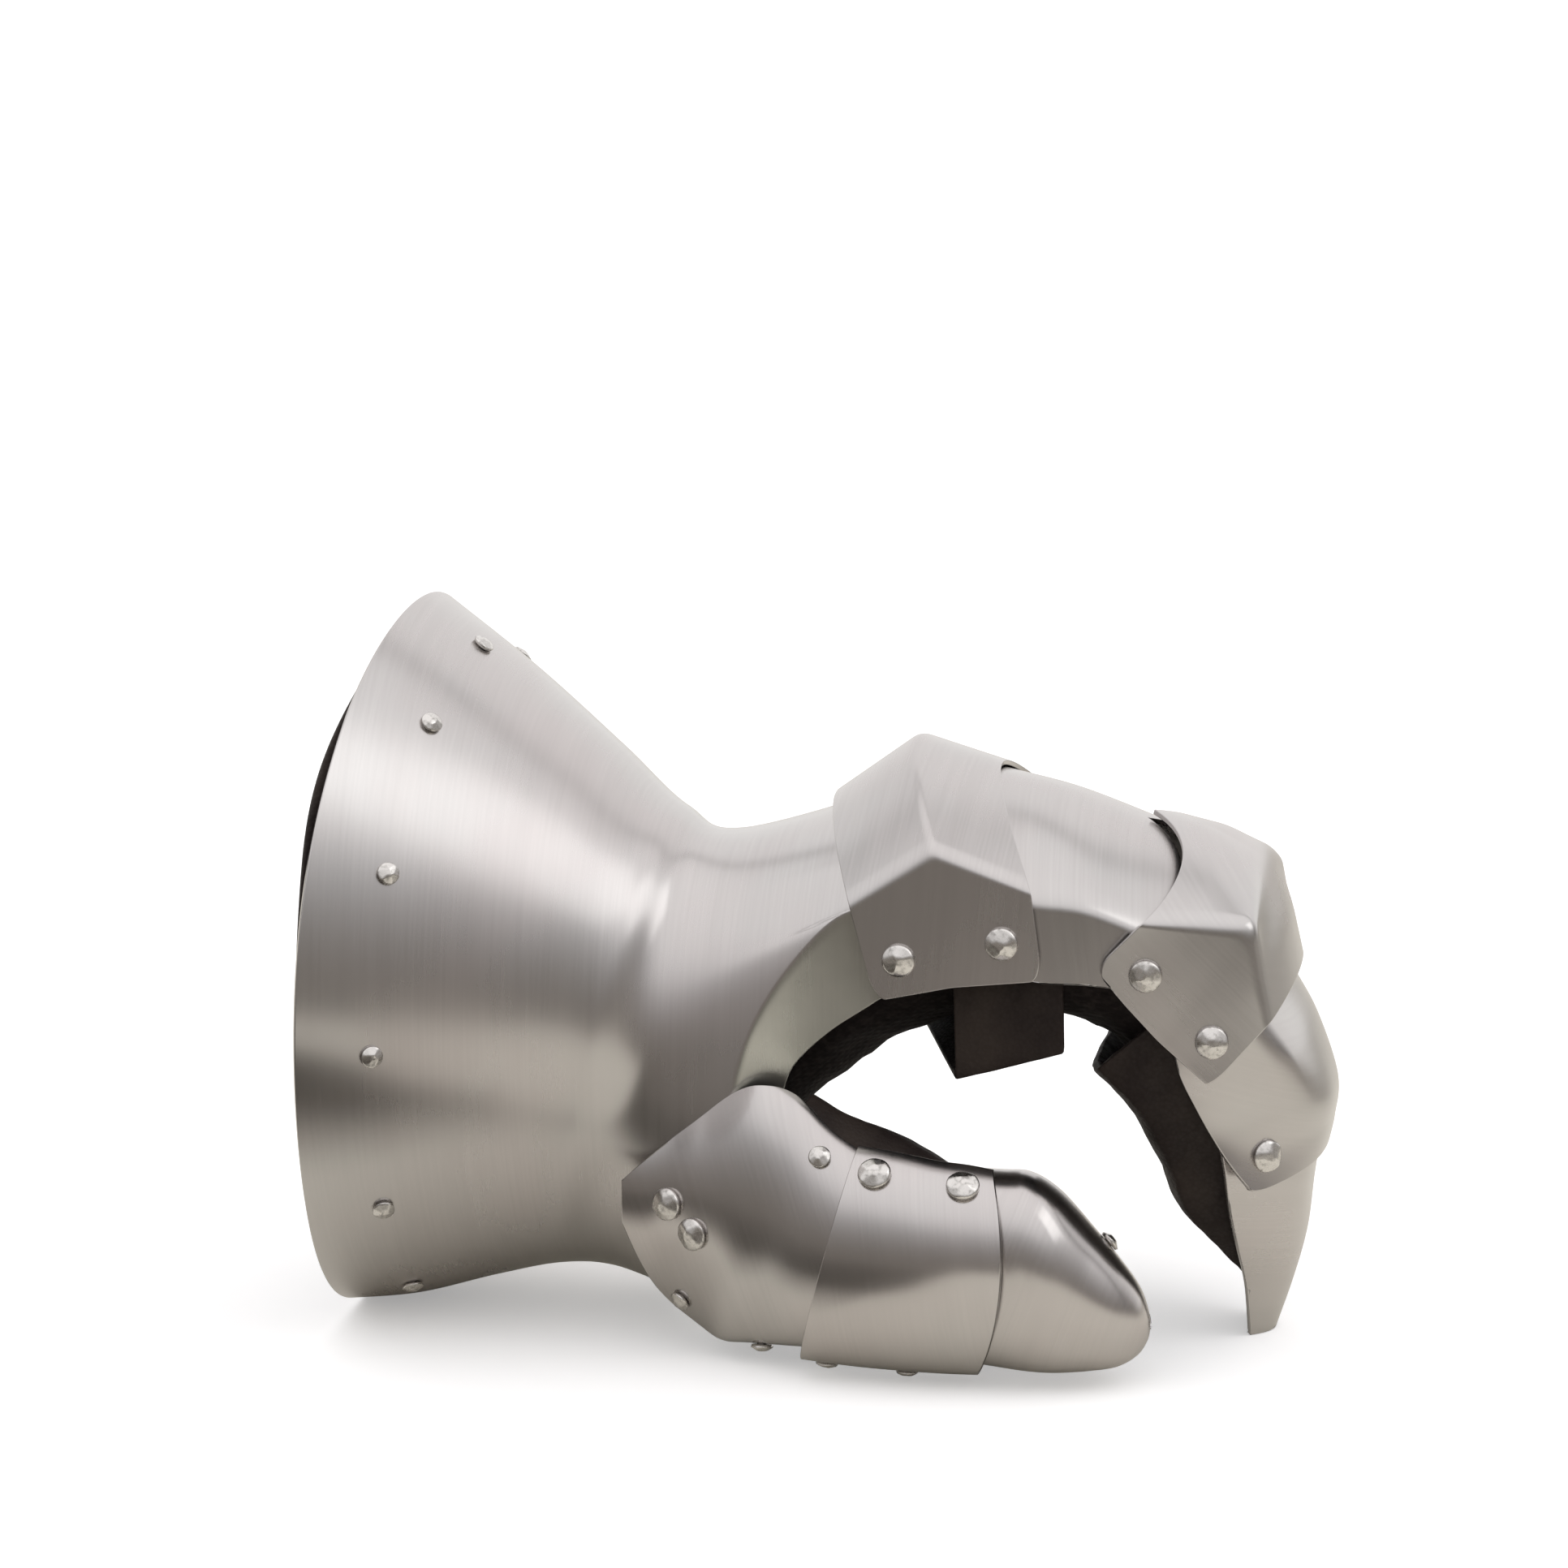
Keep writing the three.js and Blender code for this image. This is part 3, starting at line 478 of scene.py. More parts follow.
FINGER_LEATHER = PlateForm(
    rows=(
        (90, -40, 83, 76.5, -41, 71, 74, 0, 68.5, 0.8, 0, 0.5),
        (103, -36.5, 68, 87.5, -39, 60, 84.5, 0, 57.5, 0.8, 0, 0.5),
        (110.5, -31, 53, 93, -33.5, 48.5, 89.5, 0, 46, 0.8, 0, 0.5),
        (113.5, -25, 38, 97, -28, 35, 94, 0, 34, 0.8, 0, 0.5),
        (115, -19, 26, 103.5, -22.5, 27, 101.8, 0, 26.5, 0.8, 0, 0.5),
        (117, -12, 15.5, 112.8, -13.5, 15, 112, 0, 14.5, 0.8, 0, 0.5),
    ),
    smooth=True,
)
STRAP = PlateForm(
    rows=(
        (43.5, -45.2, 96.4, 44.5, -44.6, 69.6, 45.5, 0, 67.6, 0.85),
        (70, -45.2, 96.4, 70.5, -44.6, 76.8, 71, 0, 75, 0.85),
    )
)
HAND_GLOVE = SockForm(
    rows=(
        (-50, 0, 62, 8, 40, 32),
        (-25, 0, 68, -10, 42.5, 31),
        (0, 0, 85, -20, 42.5, 26.5),
        (25, 0, 96.5, -10, 42, 22),
        (50, 0, 100, 2, 42, 19.2),
        (72, 0, 97.5, 14, 41, 17.4),
        (90, 0, 88, 38, 38.5, 16.6),
        (102, 0, 72, 62, 35, 16.6),
        (108, 0, 54, 78, 27, 15.5),
        (111.5, 0, 38, 84, 20, 12),
        (114.6, 0, 24, 84, 14.5, 6),
        (116.8, 0, 15, 84, 7, 2.4),
        (117, 0, 13, 84, 0, 0),
    )
)
THUMB_GLOVE = SockForm(
    rows=(
        (8.4, -54.2, 40.4, 18, 7.8, 16.2),
        (18, -55.4, 33, 14, 9, 16.6),
        (32, -58, 29.6, 10, 10, 16.6),
        (46, -59.4, 28.2, 6, 10, 16.4),
        (60, -58.8, 26, 0, 11, 16.6),
        (73, -58.8, 21.4, -8, 10, 13.6),
        (81, -58.6, 18, -12, 7.4, 9),
        (86, -58.4, 16.4, -12, 0, 0),
    )
)
THUMB_LEATHER_ROWS = (
    ((6.6, -57, 60.6), (9.6, -47, 65.4), (9.6, -41, 60), (8, -40, 40), (4.6, -42, 20)),
    ((18, -59.5, 54.8), (19, -49, 60.8), (18.4, -42, 55.6), (15, -41, 36), (11, -43, 14)),
    ((32, -61, 51.4), (32, -50, 56), (31.6, -43.2, 51.6), (29, -42, 33), (26, -44, 12)),
    ((46, -61.5, 47.4), (46.4, -53, 49), (46, -46.6, 46), (44.4, -44.6, 31), (43, -46, 15)),
)


# ---- finishes -------------------------------------------------------------


class NodeBench:
    """Lays out and joins the nodes of one material."""

    def __init__(self, owner: bpy.types.Material | bpy.types.World, end: str = "ShaderNodeOutputMaterial") -> None:
        """Clears the owner's nodes and starts with an output."""
        self.owner = owner
        owner.use_nodes = True
        self.tree = owner.node_tree
        self.tree.nodes.clear()
        self.output = self.add(end)

    @classmethod
    def named(cls, name: str) -> NodeBench:
        """Bench of a new material."""
        return cls(bpy.data.materials.new(name))

    def add(self, kind: str, settings: dict[str, Any] | None = None, **inputs: Any) -> bpy.types.Node:
        """Adds a node.

        Args:
            kind: The node's type.
            settings: Properties of the node itself.
            **inputs: Values or sockets for its inputs, with spaces as underscores; ``at_0`` is input 0.

        Returns:
            The node.
        """
        node = self.tree.nodes.new(kind)
        for key, value in (settings or {}).items():
            setattr(node, key, value)
        for key, value in inputs.items():
            place = int(key[3:]) if key.startswith("at_") else key.replace("_", " ")
            socket = node.inputs[place]
            if isinstance(value, bpy.types.NodeSocket):
                self.tree.links.new(value, socket)
            else:
                socket.default_value = value
        return node

    def place(self) -> bpy.types.NodeSocket:
        """Object coordinates, in metres."""
        return self.add("ShaderNodeTexCoord").outputs["Object"]

    def turned(self, turn: float, stretch: tuple[float, float, float]) -> bpy.types.NodeSocket:
        """Object coordinates turned about the sideways axis, then stretched.

        Args:
            turn: Turn in degrees.
            stretch: Factors along the turned axes.

        Returns:
            The coordinates.
        """
        turned = self.add(
            "ShaderNodeVectorRotate", {"rotation_type": "Y_AXIS"}, Vector=self.place(), Angle=math.radians(turn)
        )
        return self.add("ShaderNodeMapping", Vector=turned.outputs[0], Scale=stretch).outputs[0]

    def noise(self, where: bpy.types.NodeSocket, scale: float, detail: float = 2.0) -> bpy.types.NodeSocket:
        """Cloudy value round a half."""
        return self.add("ShaderNodeTexNoise", Vector=where, Scale=scale, Detail=detail).outputs["Fac"]

    def sum(self, operation: str, a: Any, b: Any) -> bpy.types.NodeSocket:
        """One step of arithmetic."""
        return self.add("ShaderNodeMath", {"operation": operation}, at_0=a, at_1=b).outputs[0]

    def spread(self, value: Any, low: float, high: float, to_low: float, to_high: float) -> bpy.types.NodeSocket:
        """Value brought from one range to another, held at its ends."""
        node = self.add(
            "ShaderNodeMapRange", Value=value, From_Min=low, From_Max=high, To_Min=to_low, To_Max=to_high
        )
        return node.outputs[0]

    def blend(self, share: Any, a: Any, b: Any, way: str = "MIX") -> bpy.types.NodeSocket:
        """Colours a and b blended by share."""
        colours = [(*c, 1.0) if isinstance(c, tuple) else c for c in (a, b)]
        node = self.add(
            "ShaderNodeMix", {"data_type": "RGBA", "blend_type": way}, at_0=share, at_6=colours[0], at_7=colours[1]
        )
        return node.outputs[2]

    def ramp(self, value: bpy.types.NodeSocket, stops: Iterable[tuple[float, Colour]]) -> bpy.types.NodeSocket:
        """Colour that changes with a value.

        Args:
            value: From 0 to 1.
            stops: Places and colours, in order.

        Returns:
            The colour.
        """
        node = self.add("ShaderNodeValToRGB", Fac=value)
        elements = node.color_ramp.elements
        elements.remove(elements[1])
        for k, (place, colour) in enumerate(stops):
            stop = elements[0] if k == 0 else elements.new(place)
            stop.position = place
            stop.color = (*colour, 1.0)
        return node.outputs[0]

    def finish(self, normal: bpy.types.NodeSocket | None = None, **inputs: Any) -> bpy.types.Material:
        """Ends the material with a Principled shader."""
        shader = self.add("ShaderNodeBsdfPrincipled", **inputs)
        if normal is not None:
            self.tree.links.new(normal, shader.inputs["Normal"])
        self.tree.links.new(shader.outputs[0], self.output.inputs["Surface"])
        return self.owner


@dataclass(frozen=True)
class BrushedSteel:
    """Satin steel brushed round each plate, with faint clouds, smudges and small dark nicks."""

    name: str
    grain_turn: float = 0.0
    colour: Colour = (0.560, 0.545, 0.535)
    band_colour: Colour = (0.56, 0.56, 0.52)
    roughness: float = 0.26
    grain: float = 1500.0
    nick_cell: float = 34.0
    reads_band: bool = False

    def material(self) -> bpy.types.Material:
        """Builds the finish."""
        bench = NodeBench.named(self.name)
        fine = bench.noise(bench.turned(self.grain_turn, (self.grain, 26.0, 26.0)), 1.0, 3.0)
        broad = bench.noise(bench.turned(self.grain_turn, (self.grain / 6, 9.0, 9.0)), 1.0, 2.0)
        cloud = bench.noise(bench.place(), 22.0, 4.0)
        grain = bench.sum("ADD", bench.sum("MULTIPLY", fine, 0.65), bench.sum("MULTIPLY", broad, 0.35))
        tone = bench.spread(grain, 0.35, 0.65, 0.972, 1.028)
        tinted = bench.blend(bench.spread(cloud, 0.35, 0.7, 0.0, 1.0), self.colour, self.warm())
        if self.reads_band:
            band = bench.add("ShaderNodeAttribute", {"attribute_name": "band"}).outputs["Fac"]
            patch = bench.spread(bench.noise(bench.place(), 60.0, 3.0), 0.4, 0.75, 0.0, 0.55)
            dull = bench.blend(patch, self.band_colour, tuple(0.7 * c for c in self.band_colour))
            tinted = bench.blend(band, tinted, dull)
        streaked = bench.blend(1.0, tinted, bench.add("ShaderNodeCombineXYZ", X=tone, Y=tone, Z=tone).outputs[0], "MULTIPLY")
        nick = self.nicks(bench)
        coloured = bench.blend(nick, streaked, (0.09, 0.08, 0.075))
        rough = bench.sum("ADD", bench.spread(grain, 0.3, 0.7, -0.01, 0.01), bench.spread(cloud, 0.3, 0.7, -0.03, 0.04))
        bump = bench.add("ShaderNodeBump", Strength=0.012, Distance=0.00005, Height=grain)
        return bench.finish(
            bump.outputs[0],
            Base_Color=coloured,
            Metallic=1.0,
            Roughness=bench.sum("ADD", rough, self.roughness),
        )

    def warm(self) -> Colour:
        """The colour's slightly pinker cloud."""
        r, g, b = self.colour
        return (r * 1.02, g * 0.985, b * 0.985)

    def nicks(self, bench: NodeBench) -> bpy.types.NodeSocket:
        """Mask of a few short dark nicks."""
        stretched = bench.turned(self.grain_turn + 35, (1.0, 1.0, 0.45))
        cells = bench.add("ShaderNodeTexVoronoi", {"feature": "F1"}, Vector=stretched, Scale=self.nick_cell)
        near = bench.spread(cells.outputs["Distance"], 0.012, 0.03, 1.0, 0.0)
        chance = bench.add("ShaderNodeSeparateColor", Color=cells.outputs["Color"]).outputs[0]
        return bench.sum("MULTIPLY", near, bench.spread(chance, 0.66, 0.7, 0.0, 0.8))


@dataclass(frozen=True)
class HammeredSteel:
    """Bright rivet steel with small dark specks of dirt."""

    name: str = "hammered_rivet_steel"
    colour: Colour = (0.70, 0.68, 0.655)

    def material(self) -> bpy.types.Material:
        """Builds the finish."""
        bench = NodeBench.named(self.name)
        speck = bench.noise(bench.place(), 900.0, 4.0)
        dirt = bench.spread(speck, 0.52, 0.72, 0.0, 0.6)
        bump = bench.add("ShaderNodeBump", Strength=0.3, Distance=0.0001, Height=speck)
        return bench.finish(
            bump.outputs[0],
            Base_Color=bench.blend(dirt, self.colour, (0.25, 0.24, 0.22)),
            Metallic=1.0,
            Roughness=bench.spread(speck, 0.3, 0.8, 0.16, 0.42),
        )


@dataclass(frozen=True)
class DarkLeather:
    """Dark brown vegetable-tanned leather with fine pores and paler rubbed patches."""

    name: str = "dark_brown_leather"
    colour: Colour = (0.0155, 0.0095, 0.0082)
    rubbed: Colour = (0.036, 0.026, 0.021)

    def material(self) -> bpy.types.Material:
        """Builds the finish."""
        bench = NodeBench.named(self.name)
        cloud = bench.noise(bench.place(), 55.0, 5.0)
        pores = bench.add("ShaderNodeTexVoronoi", Vector=bench.place(), Scale=950.0).outputs["Distance"]
        fine = bench.noise(bench.place(), 1700.0, 3.0)
        height = bench.sum("ADD", pores, bench.sum("MULTIPLY", fine, 0.7))
        bump = bench.add("ShaderNodeBump", Strength=0.55, Distance=0.00018, Height=height)
        return bench.finish(
            bump.outputs[0],
            Base_Color=bench.blend(bench.spread(cloud, 0.38, 0.68, 0.0, 1.0), self.colour, self.rubbed),
            Roughness=bench.spread(pores, 0.0, 0.8, 0.5, 0.72),
            Specular_IOR_Level=0.28,
        )


@dataclass(frozen=True)
class BlackCloth:
    """Black woven cotton, seen as a fine diagonal weave with lint."""

    name: str = "black_woven_cloth"
    colour: Colour = (0.012, 0.009, 0.009)
    lint: Colour = (0.035, 0.028, 0.026)
    thread: float = 1300.0

    def material(self) -> bpy.types.Material:
        """Builds the finish."""
        bench = NodeBench.named(self.name)
        waves = [
            bench.add(
                "ShaderNodeTexWave",
                {"bands_direction": way},
                Vector=bench.place(),
                Scale=self.thread / (2 * math.pi),
                Distortion=0.6,
                Detail=1.0,
            ).outputs["Fac"]
            for way in ("DIAGONAL", "Z")
        ]
        weave = bench.sum("MULTIPLY", *waves)
        lint = bench.noise(bench.place(), 420.0, 5.0)
        bump = bench.add("ShaderNodeBump", Strength=0.6, Distance=0.0003, Height=bench.sum("ADD", weave, lint))
        return bench.finish(
            bump.outputs[0],
            Base_Color=bench.blend(bench.spread(lint, 0.45, 0.75, 0.0, 0.8), self.colour, self.lint),
            Roughness=0.92,
            Specular_IOR_Level=0.2,
        )


@dataclass(frozen=True)
class StudioPaper:
    """Pale floor paper that the camera sees plain, with a painted emission that lightens its shadows; every other ray
    sees a painted reflection in its place: a bright sheet near the gauntlet, a painted shadow band past the thumb side
    and a painted dim room further out.
    """

    name: str = "floor_paper_painted_light"
    colour: Colour = (0.95, 0.95, 0.95)
    # Painted reflection: the bright floor that every ray but the camera's sees near the gauntlet.
    sheet: Colour = (0.86, 0.83, 0.74)
    # Painted shadow: a dark band that every ray but the camera's sees on the floor past the thumb side.
    gap: Colour = (0.075, 0.065, 0.052)
    # Painted reflection: a dim room colour that every ray but the camera's sees on the floor further out.
    room: Colour = (0.20, 0.18, 0.155)
    # Painted emission: even light that only the camera sees from the floor, which lightens its shadows; the floor is no
    # lamp.
    shadow_lift_glow: float = 0.33

    def material(self) -> bpy.types.Material:
        """Builds the finish."""
        bench = NodeBench.named(self.name)
        tooth = bench.noise(bench.place(), 160.0, 3.0)
        soft = bench.spread(tooth, 0.3, 0.7, 0.98, 1.0)
        grey = bench.add("ShaderNodeCombineXYZ", X=soft, Y=soft, Z=soft).outputs[0]
        split = bench.add("ShaderNodeSeparateXYZ", Vector=bench.place()).outputs
        # Painted reflection for every ray but the camera's: the painted shadow band starts nearer on the thumb side by
        # the wrist than further forward, then the painted dim room takes over further out and past the fingers.
        reach = bench.spread(split["X"], -0.005, 0.03, -0.095, -0.33)
        past_shadow_band_edge = bench.sum("SUBTRACT", reach, split["Y"])
        painted_shadow_band = bench.blend(bench.spread(past_shadow_band_edge, 0.0, 0.05, 0.0, 1.0), self.sheet, self.gap)
        painted_reflection = bench.blend(bench.spread(past_shadow_band_edge, 0.12, 0.26, 0.0, 1.0), painted_shadow_band, self.room)
        painted_reflection = bench.blend(bench.spread(split["X"], 0.18, 0.42, 0.0, 0.7), painted_reflection, self.room)
        # The camera sees the plain pale paper, every other ray the painted reflection.
        seen = bench.add("ShaderNodeLightPath").outputs["Is Camera Ray"]
        colour = bench.blend(seen, painted_reflection, bench.blend(1.0, self.colour, grey, "MULTIPLY"))
        # Painted emission seen only by the camera, lightening the floor's shadows.
        painted_floor_glow = bench.blend(seen, (0.0, 0.0, 0.0), (self.shadow_lift_glow, self.shadow_lift_glow, self.shadow_lift_glow))
        return bench.finish(Base_Color=colour, Emission_Color=painted_floor_glow, Emission_Strength=1.0, Roughness=0.9)


# ---- building blocks ------------------------------------------------------


@dataclass
class Piece:
    """One finished piece that rides on the frame."""

    name: str
    slot: Slot
    stands_for: tuple[str, ...]

    def enter(self, mesh: bmesh.types.BMesh, material: bpy.types.Material) -> bpy.types.Object:
        """Makes the mesh an object of the scene and ties it to the frame.

        Args:
            mesh: The finished bmesh, in the frame; it is freed.
            material: Its finish.

        Returns:
            The object.
        """
        data = bpy.data.meshes.new(self.name)
        mesh.to_mesh(data)
        mesh.free()
        data.shade_smooth()
        data.materials.append(material)
        piece = bpy.data.objects.new(self.name, data)
        bpy.context.scene.collection.objects.link(piece)
        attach(piece, "root")
        if self.stands_for:
            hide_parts(*self.stands_for)
        LOG.info("%s: %d faces", self.name, len(data.polygons))
        return piece


@dataclass
class SheetPiece(Piece):
    """A wall laid over a surface, with its thickness towards the inside."""

    surface: Surface
    inside: Vector
    columns: int = 120
    lines: int = 60
    wall: float = STEEL_WALL
    edge: float = 0.28
    spacing: tuple[Callable[[float], float], Callable[[float], float]] | None = None
    relief: Callable[[Vector, Vector, float, float], Vector] | None = None
    band_from: float | None = None
    even: bool = True

    def laid(self) -> bmesh.types.BMesh:
        """Grid laid over the surface, welded where it closes, facing outwards."""
        mesh = bmesh.new()
        bmesh.ops.create_grid(mesh, x_segments=self.columns, y_segments=self.lines, size=0.5, calc_uvs=True)
        spaced_u, spaced_v = self.spacing or (lambda t: t, lambda t: t)
        band = mesh.verts.layers.float.new("band") if self.band_from is not None else None
        where = {}
        for vert in mesh.verts:
            u, v = spaced_u(clamp(vert.co.x + 0.5)), spaced_v(clamp(vert.co.y + 0.5))
            where[vert] = (u, v)
            vert.co = self.surface(u, v)
            if band is not None:
                vert[band] = 1.0 if v > self.band_from else 0.0
        if self.relief is not None:
            mesh.normal_update()
            moved = {vert: self.relief(vert.co, vert.normal, *where[vert]) for vert in mesh.verts}
            for vert, place in moved.items():
                vert.co = place
        bmesh.ops.remove_doubles(mesh, verts=mesh.verts[:], dist=0.01 * MM)
        bmesh.ops.recalc_face_normals(mesh, faces=mesh.faces[:])
        mesh.normal_update()
        if sum(f.normal.dot(f.calc_center_median() - self.inside) * f.calc_area() for f in mesh.faces) < 0:
            bmesh.ops.reverse_faces(mesh, faces=mesh.faces[:])
        return mesh

    def build(self, material: bpy.types.Material) -> bpy.types.Object:
        """Builds the wall and rounds its edges."""
        piece = self.enter(self.laid(), material)
        wall = piece.modifiers.new("wall", "SOLIDIFY")
        wall.thickness = self.wall * MM
        wall.offset = -1.0
        wall.use_even_offset = self.even
        wall.thickness_clamp = 1.0
        wall.use_thickness_angle_clamp = True
        if not self.edge:
            return piece
        rim = piece.modifiers.new("rim", "BEVEL")
        rim.width = self.edge * MM
        rim.segments = 2
        rim.limit_method = "ANGLE"
        rim.angle_limit = math.radians(55)
        rim.use_clamp_overlap = False
        rim.harden_normals = True
        return piece


@dataclass(frozen=True)
class Seat:
    """Where a rivet sits: its place on the outer surface and its outward axis."""

    place: Vector
    axis: Vector


def seat_on(surface: Surface, target: Vector, outward: Vector) -> Seat:
    """Finds the point of a surface closest to a target.

    Args:
        surface: The sheet's outer surface.
        target: Point near the seat, in the frame.
        outward: Rough outward direction.

    Returns:
        The seat.
    """
    steps, span, probe = 6, 1.0, 0.01
    best = (math.inf, 0.5, 0.5)
    while span > 1e-3:
        _, middle_u, middle_v = best
        for i in range(-steps, steps + 1):
            for j in range(-steps, steps + 1):
                u = clamp(middle_u + i * span / (2 * steps))
                v = clamp(middle_v + j * span / (2 * steps))
                best = min(best, ((surface(u, v) - target).length, u, v))
        span /= 3
    _, u, v = best
    along = surface(u + probe, v) - surface(u - probe, v)
    across = surface(u, v + probe) - surface(u, v - probe)
    axis = along.cross(across).normalized()
    return Seat(surface(u, v), axis if axis.dot(outward) > 0 else -axis)


@dataclass
class Rivet(Piece):
    """A rivet with a hammered dome outside and a clinched end inside."""

    seat: Seat
    radius: float = 4.0
    height: float = 2.3
    shank: float = 1.7
    grip: float = 6.0
    seed: int = 0
    sides: int = 32
    gap: float = 0.42

    def profile(self) -> list[tuple[float, float]]:
        """Half section from the clinched end to the dome's top, in millimetres."""
        rim, tail = self.shank + 0.9, -self.grip
        skirt = 0.32
        dome = [
            (self.radius * math.cos(math.radians(a)) ** 0.9, self.gap + skirt + (self.height - skirt) * math.sin(math.radians(a)))
            for a in range(0, 90, 9)
        ]
        return [
            (0.0, tail - 0.9), (rim - 0.3, tail - 0.9), (rim, tail - 0.6), (rim, tail), (self.shank, tail),
            (self.shank, self.gap - 0.25), (self.radius - 0.25, self.gap - 0.25), *dome, (0.0, self.gap + self.height),
        ]

    def hammered(self, mesh: bmesh.types.BMesh) -> None:
        """Flattens the dome with a few hammer blows."""
        rng = random.Random(self.seed)
        blows = []
        count = 8
        for k in range(count):
            turn = 2 * math.pi * (k + rng.uniform(-0.3, 0.3)) / count
            lean = math.radians(rng.uniform(28, 52))
            way = Vector((math.sin(lean) * math.cos(turn), math.sin(lean) * math.sin(turn), math.cos(lean)))
            blows.append((way, rng.uniform(0.84, 0.93)))
        blows.append((Vector((rng.uniform(-0.2, 0.2), rng.uniform(-0.2, 0.2), 1)).normalized(), 0.9))
        stretch = self.height / self.radius
        for vert in mesh.verts:
            if vert.co.z <= (self.gap + 0.3) * MM:
                continue
            flat = Vector((vert.co.x, vert.co.y, (vert.co.z - self.gap * MM) / stretch)) / (self.radius * MM)
            for way, limit in blows:
                over = flat.dot(way) - limit
                if over > 0:
                    flat -= way * over
            flat *= self.radius * MM
            vert.co = (flat.x, flat.y, flat.z * stretch + self.gap * MM)

    def build(self, material: bpy.types.Material) -> bpy.types.Object:
        """Spins, hammers and places the rivet."""
        mesh = bmesh.new()
        points = [mesh.verts.new((r * MM, 0, z * MM)) for r, z in self.profile()]
        edges = [mesh.edges.new(pair) for pair in zip(points, points[1:])]
        bmesh.ops.spin(
            mesh, geom=[*points, *edges], cent=(0, 0, 0), axis=(0, 0, 1), angle=2 * math.pi,
            steps=self.sides, use_merge=True, use_duplicate=False,
        )
        bmesh.ops.remove_doubles(mesh, verts=mesh.verts[:], dist=0.005 * MM)
        self.hammered(mesh)
        bmesh.ops.recalc_face_normals(mesh, faces=mesh.faces[:])
        turn = self.seat.axis.to_track_quat("Z", "Y").to_matrix().to_4x4()
        bmesh.ops.transform(mesh, matrix=Matrix.Translation(self.seat.place) @ turn, verts=mesh.verts[:])
        return self.enter(mesh, material)


# ---- sub-assemblies -------------------------------------------------------


def wrinkled(depth: float, size: float, seed: float) -> Callable[[Vector, Vector, float, float], Vector]:
    """Soft uneven relief.

    Args:
        depth: How far the surface moves each way, in millimetres.
        size: Width of a wrinkle, in millimetres.
        seed: Start of the pattern.

    Returns:
        A relief for a sheet.
    """

    def relief(place: Vector, normal: Vector, _u: float, _v: float) -> Vector:
        """Place moved along its normal."""
        value = noise.fractal(place / (size * MM) + Vector((seed, seed, seed)), 1.0, 2.0, 3)
        return place + normal * (depth * MM * value)

    return relief


@dataclass
class CuffAndHand:
    """The one-piece body and the leather lining inside its cuff."""

    rivets: int = 12
    rivet_step: float = 30.0
    first_rivet: float = 93.0
    rivet_inset: float = 19.5
    lining_share: float = 0.165
    lining_widening: float = 0.62
    lining_inset: float = 2.3
    lining_rise: float = 2.6
    middle: Vector = field(default_factory=lambda: placed(-60, 0, 88))

    def lining(self, u: float, v: float) -> Vector:
        """Outer face of the lining, which stands out of the rim a little above the thumb side."""
        angle = (u % 1) * 360
        rim, following = (placed(*BODY.ring_point(ring, angle)) for ring in BODY.rings[:2])
        slant = (following - rim).normalized()
        rise = self.lining_rise * MM * math.exp(-(((angle - 54) / 20) ** 2))
        share = self.lining_share * (1 + self.lining_widening * (1 - math.cos(math.radians(angle))) / 2)
        place = BODY.at(u, share * v) - slant * (rise * (1 - v))
        inward = Vector((0, -place.y, 88.5 * MM - place.z)).normalized()
        return place + inward * (self.lining_inset * MM)

    def seats(self) -> list[Seat]:
        """Seats of the rivets round the cuff."""
        found = []
        for k in range(self.rivets):
            u = ((self.first_rivet + k * self.rivet_step) % 360) / 360
            start, v = BODY.at(u, 0), 0.0
            while (BODY.at(u, v) - start).length < self.rivet_inset * MM:
                v += 0.002
            turn = math.radians(u * 360)
            found.append(seat_on(BODY.at, BODY.at(u, v), Vector((0, -math.sin(turn), math.cos(turn)))))
        return found

    def build(self, leather: bpy.types.Material) -> None:
        """Builds the body and the lining."""
        steel = BrushedSteel("brushed_body_steel", reads_band=True).material()
        knee = 1 - BODY.band_share
        SheetPiece(
            "gauntlet_shell", Slot.STEEL, ("gauntlet_body",), BODY.at, self.middle, 300, 110,
            spacing=(lambda t: t, gathered((knee + 0.006,), 0.02, 6)), band_from=knee + 0.004,
        ).build(steel)
        SheetPiece(
            "cuff_lining_leather", Slot.LEATHER, ("cuff_lining",), self.lining, self.middle, 220, 12,
            wall=LEATHER_WALL, edge=0.45, relief=wrinkled(0.25, 14, 3),
        ).build(leather)


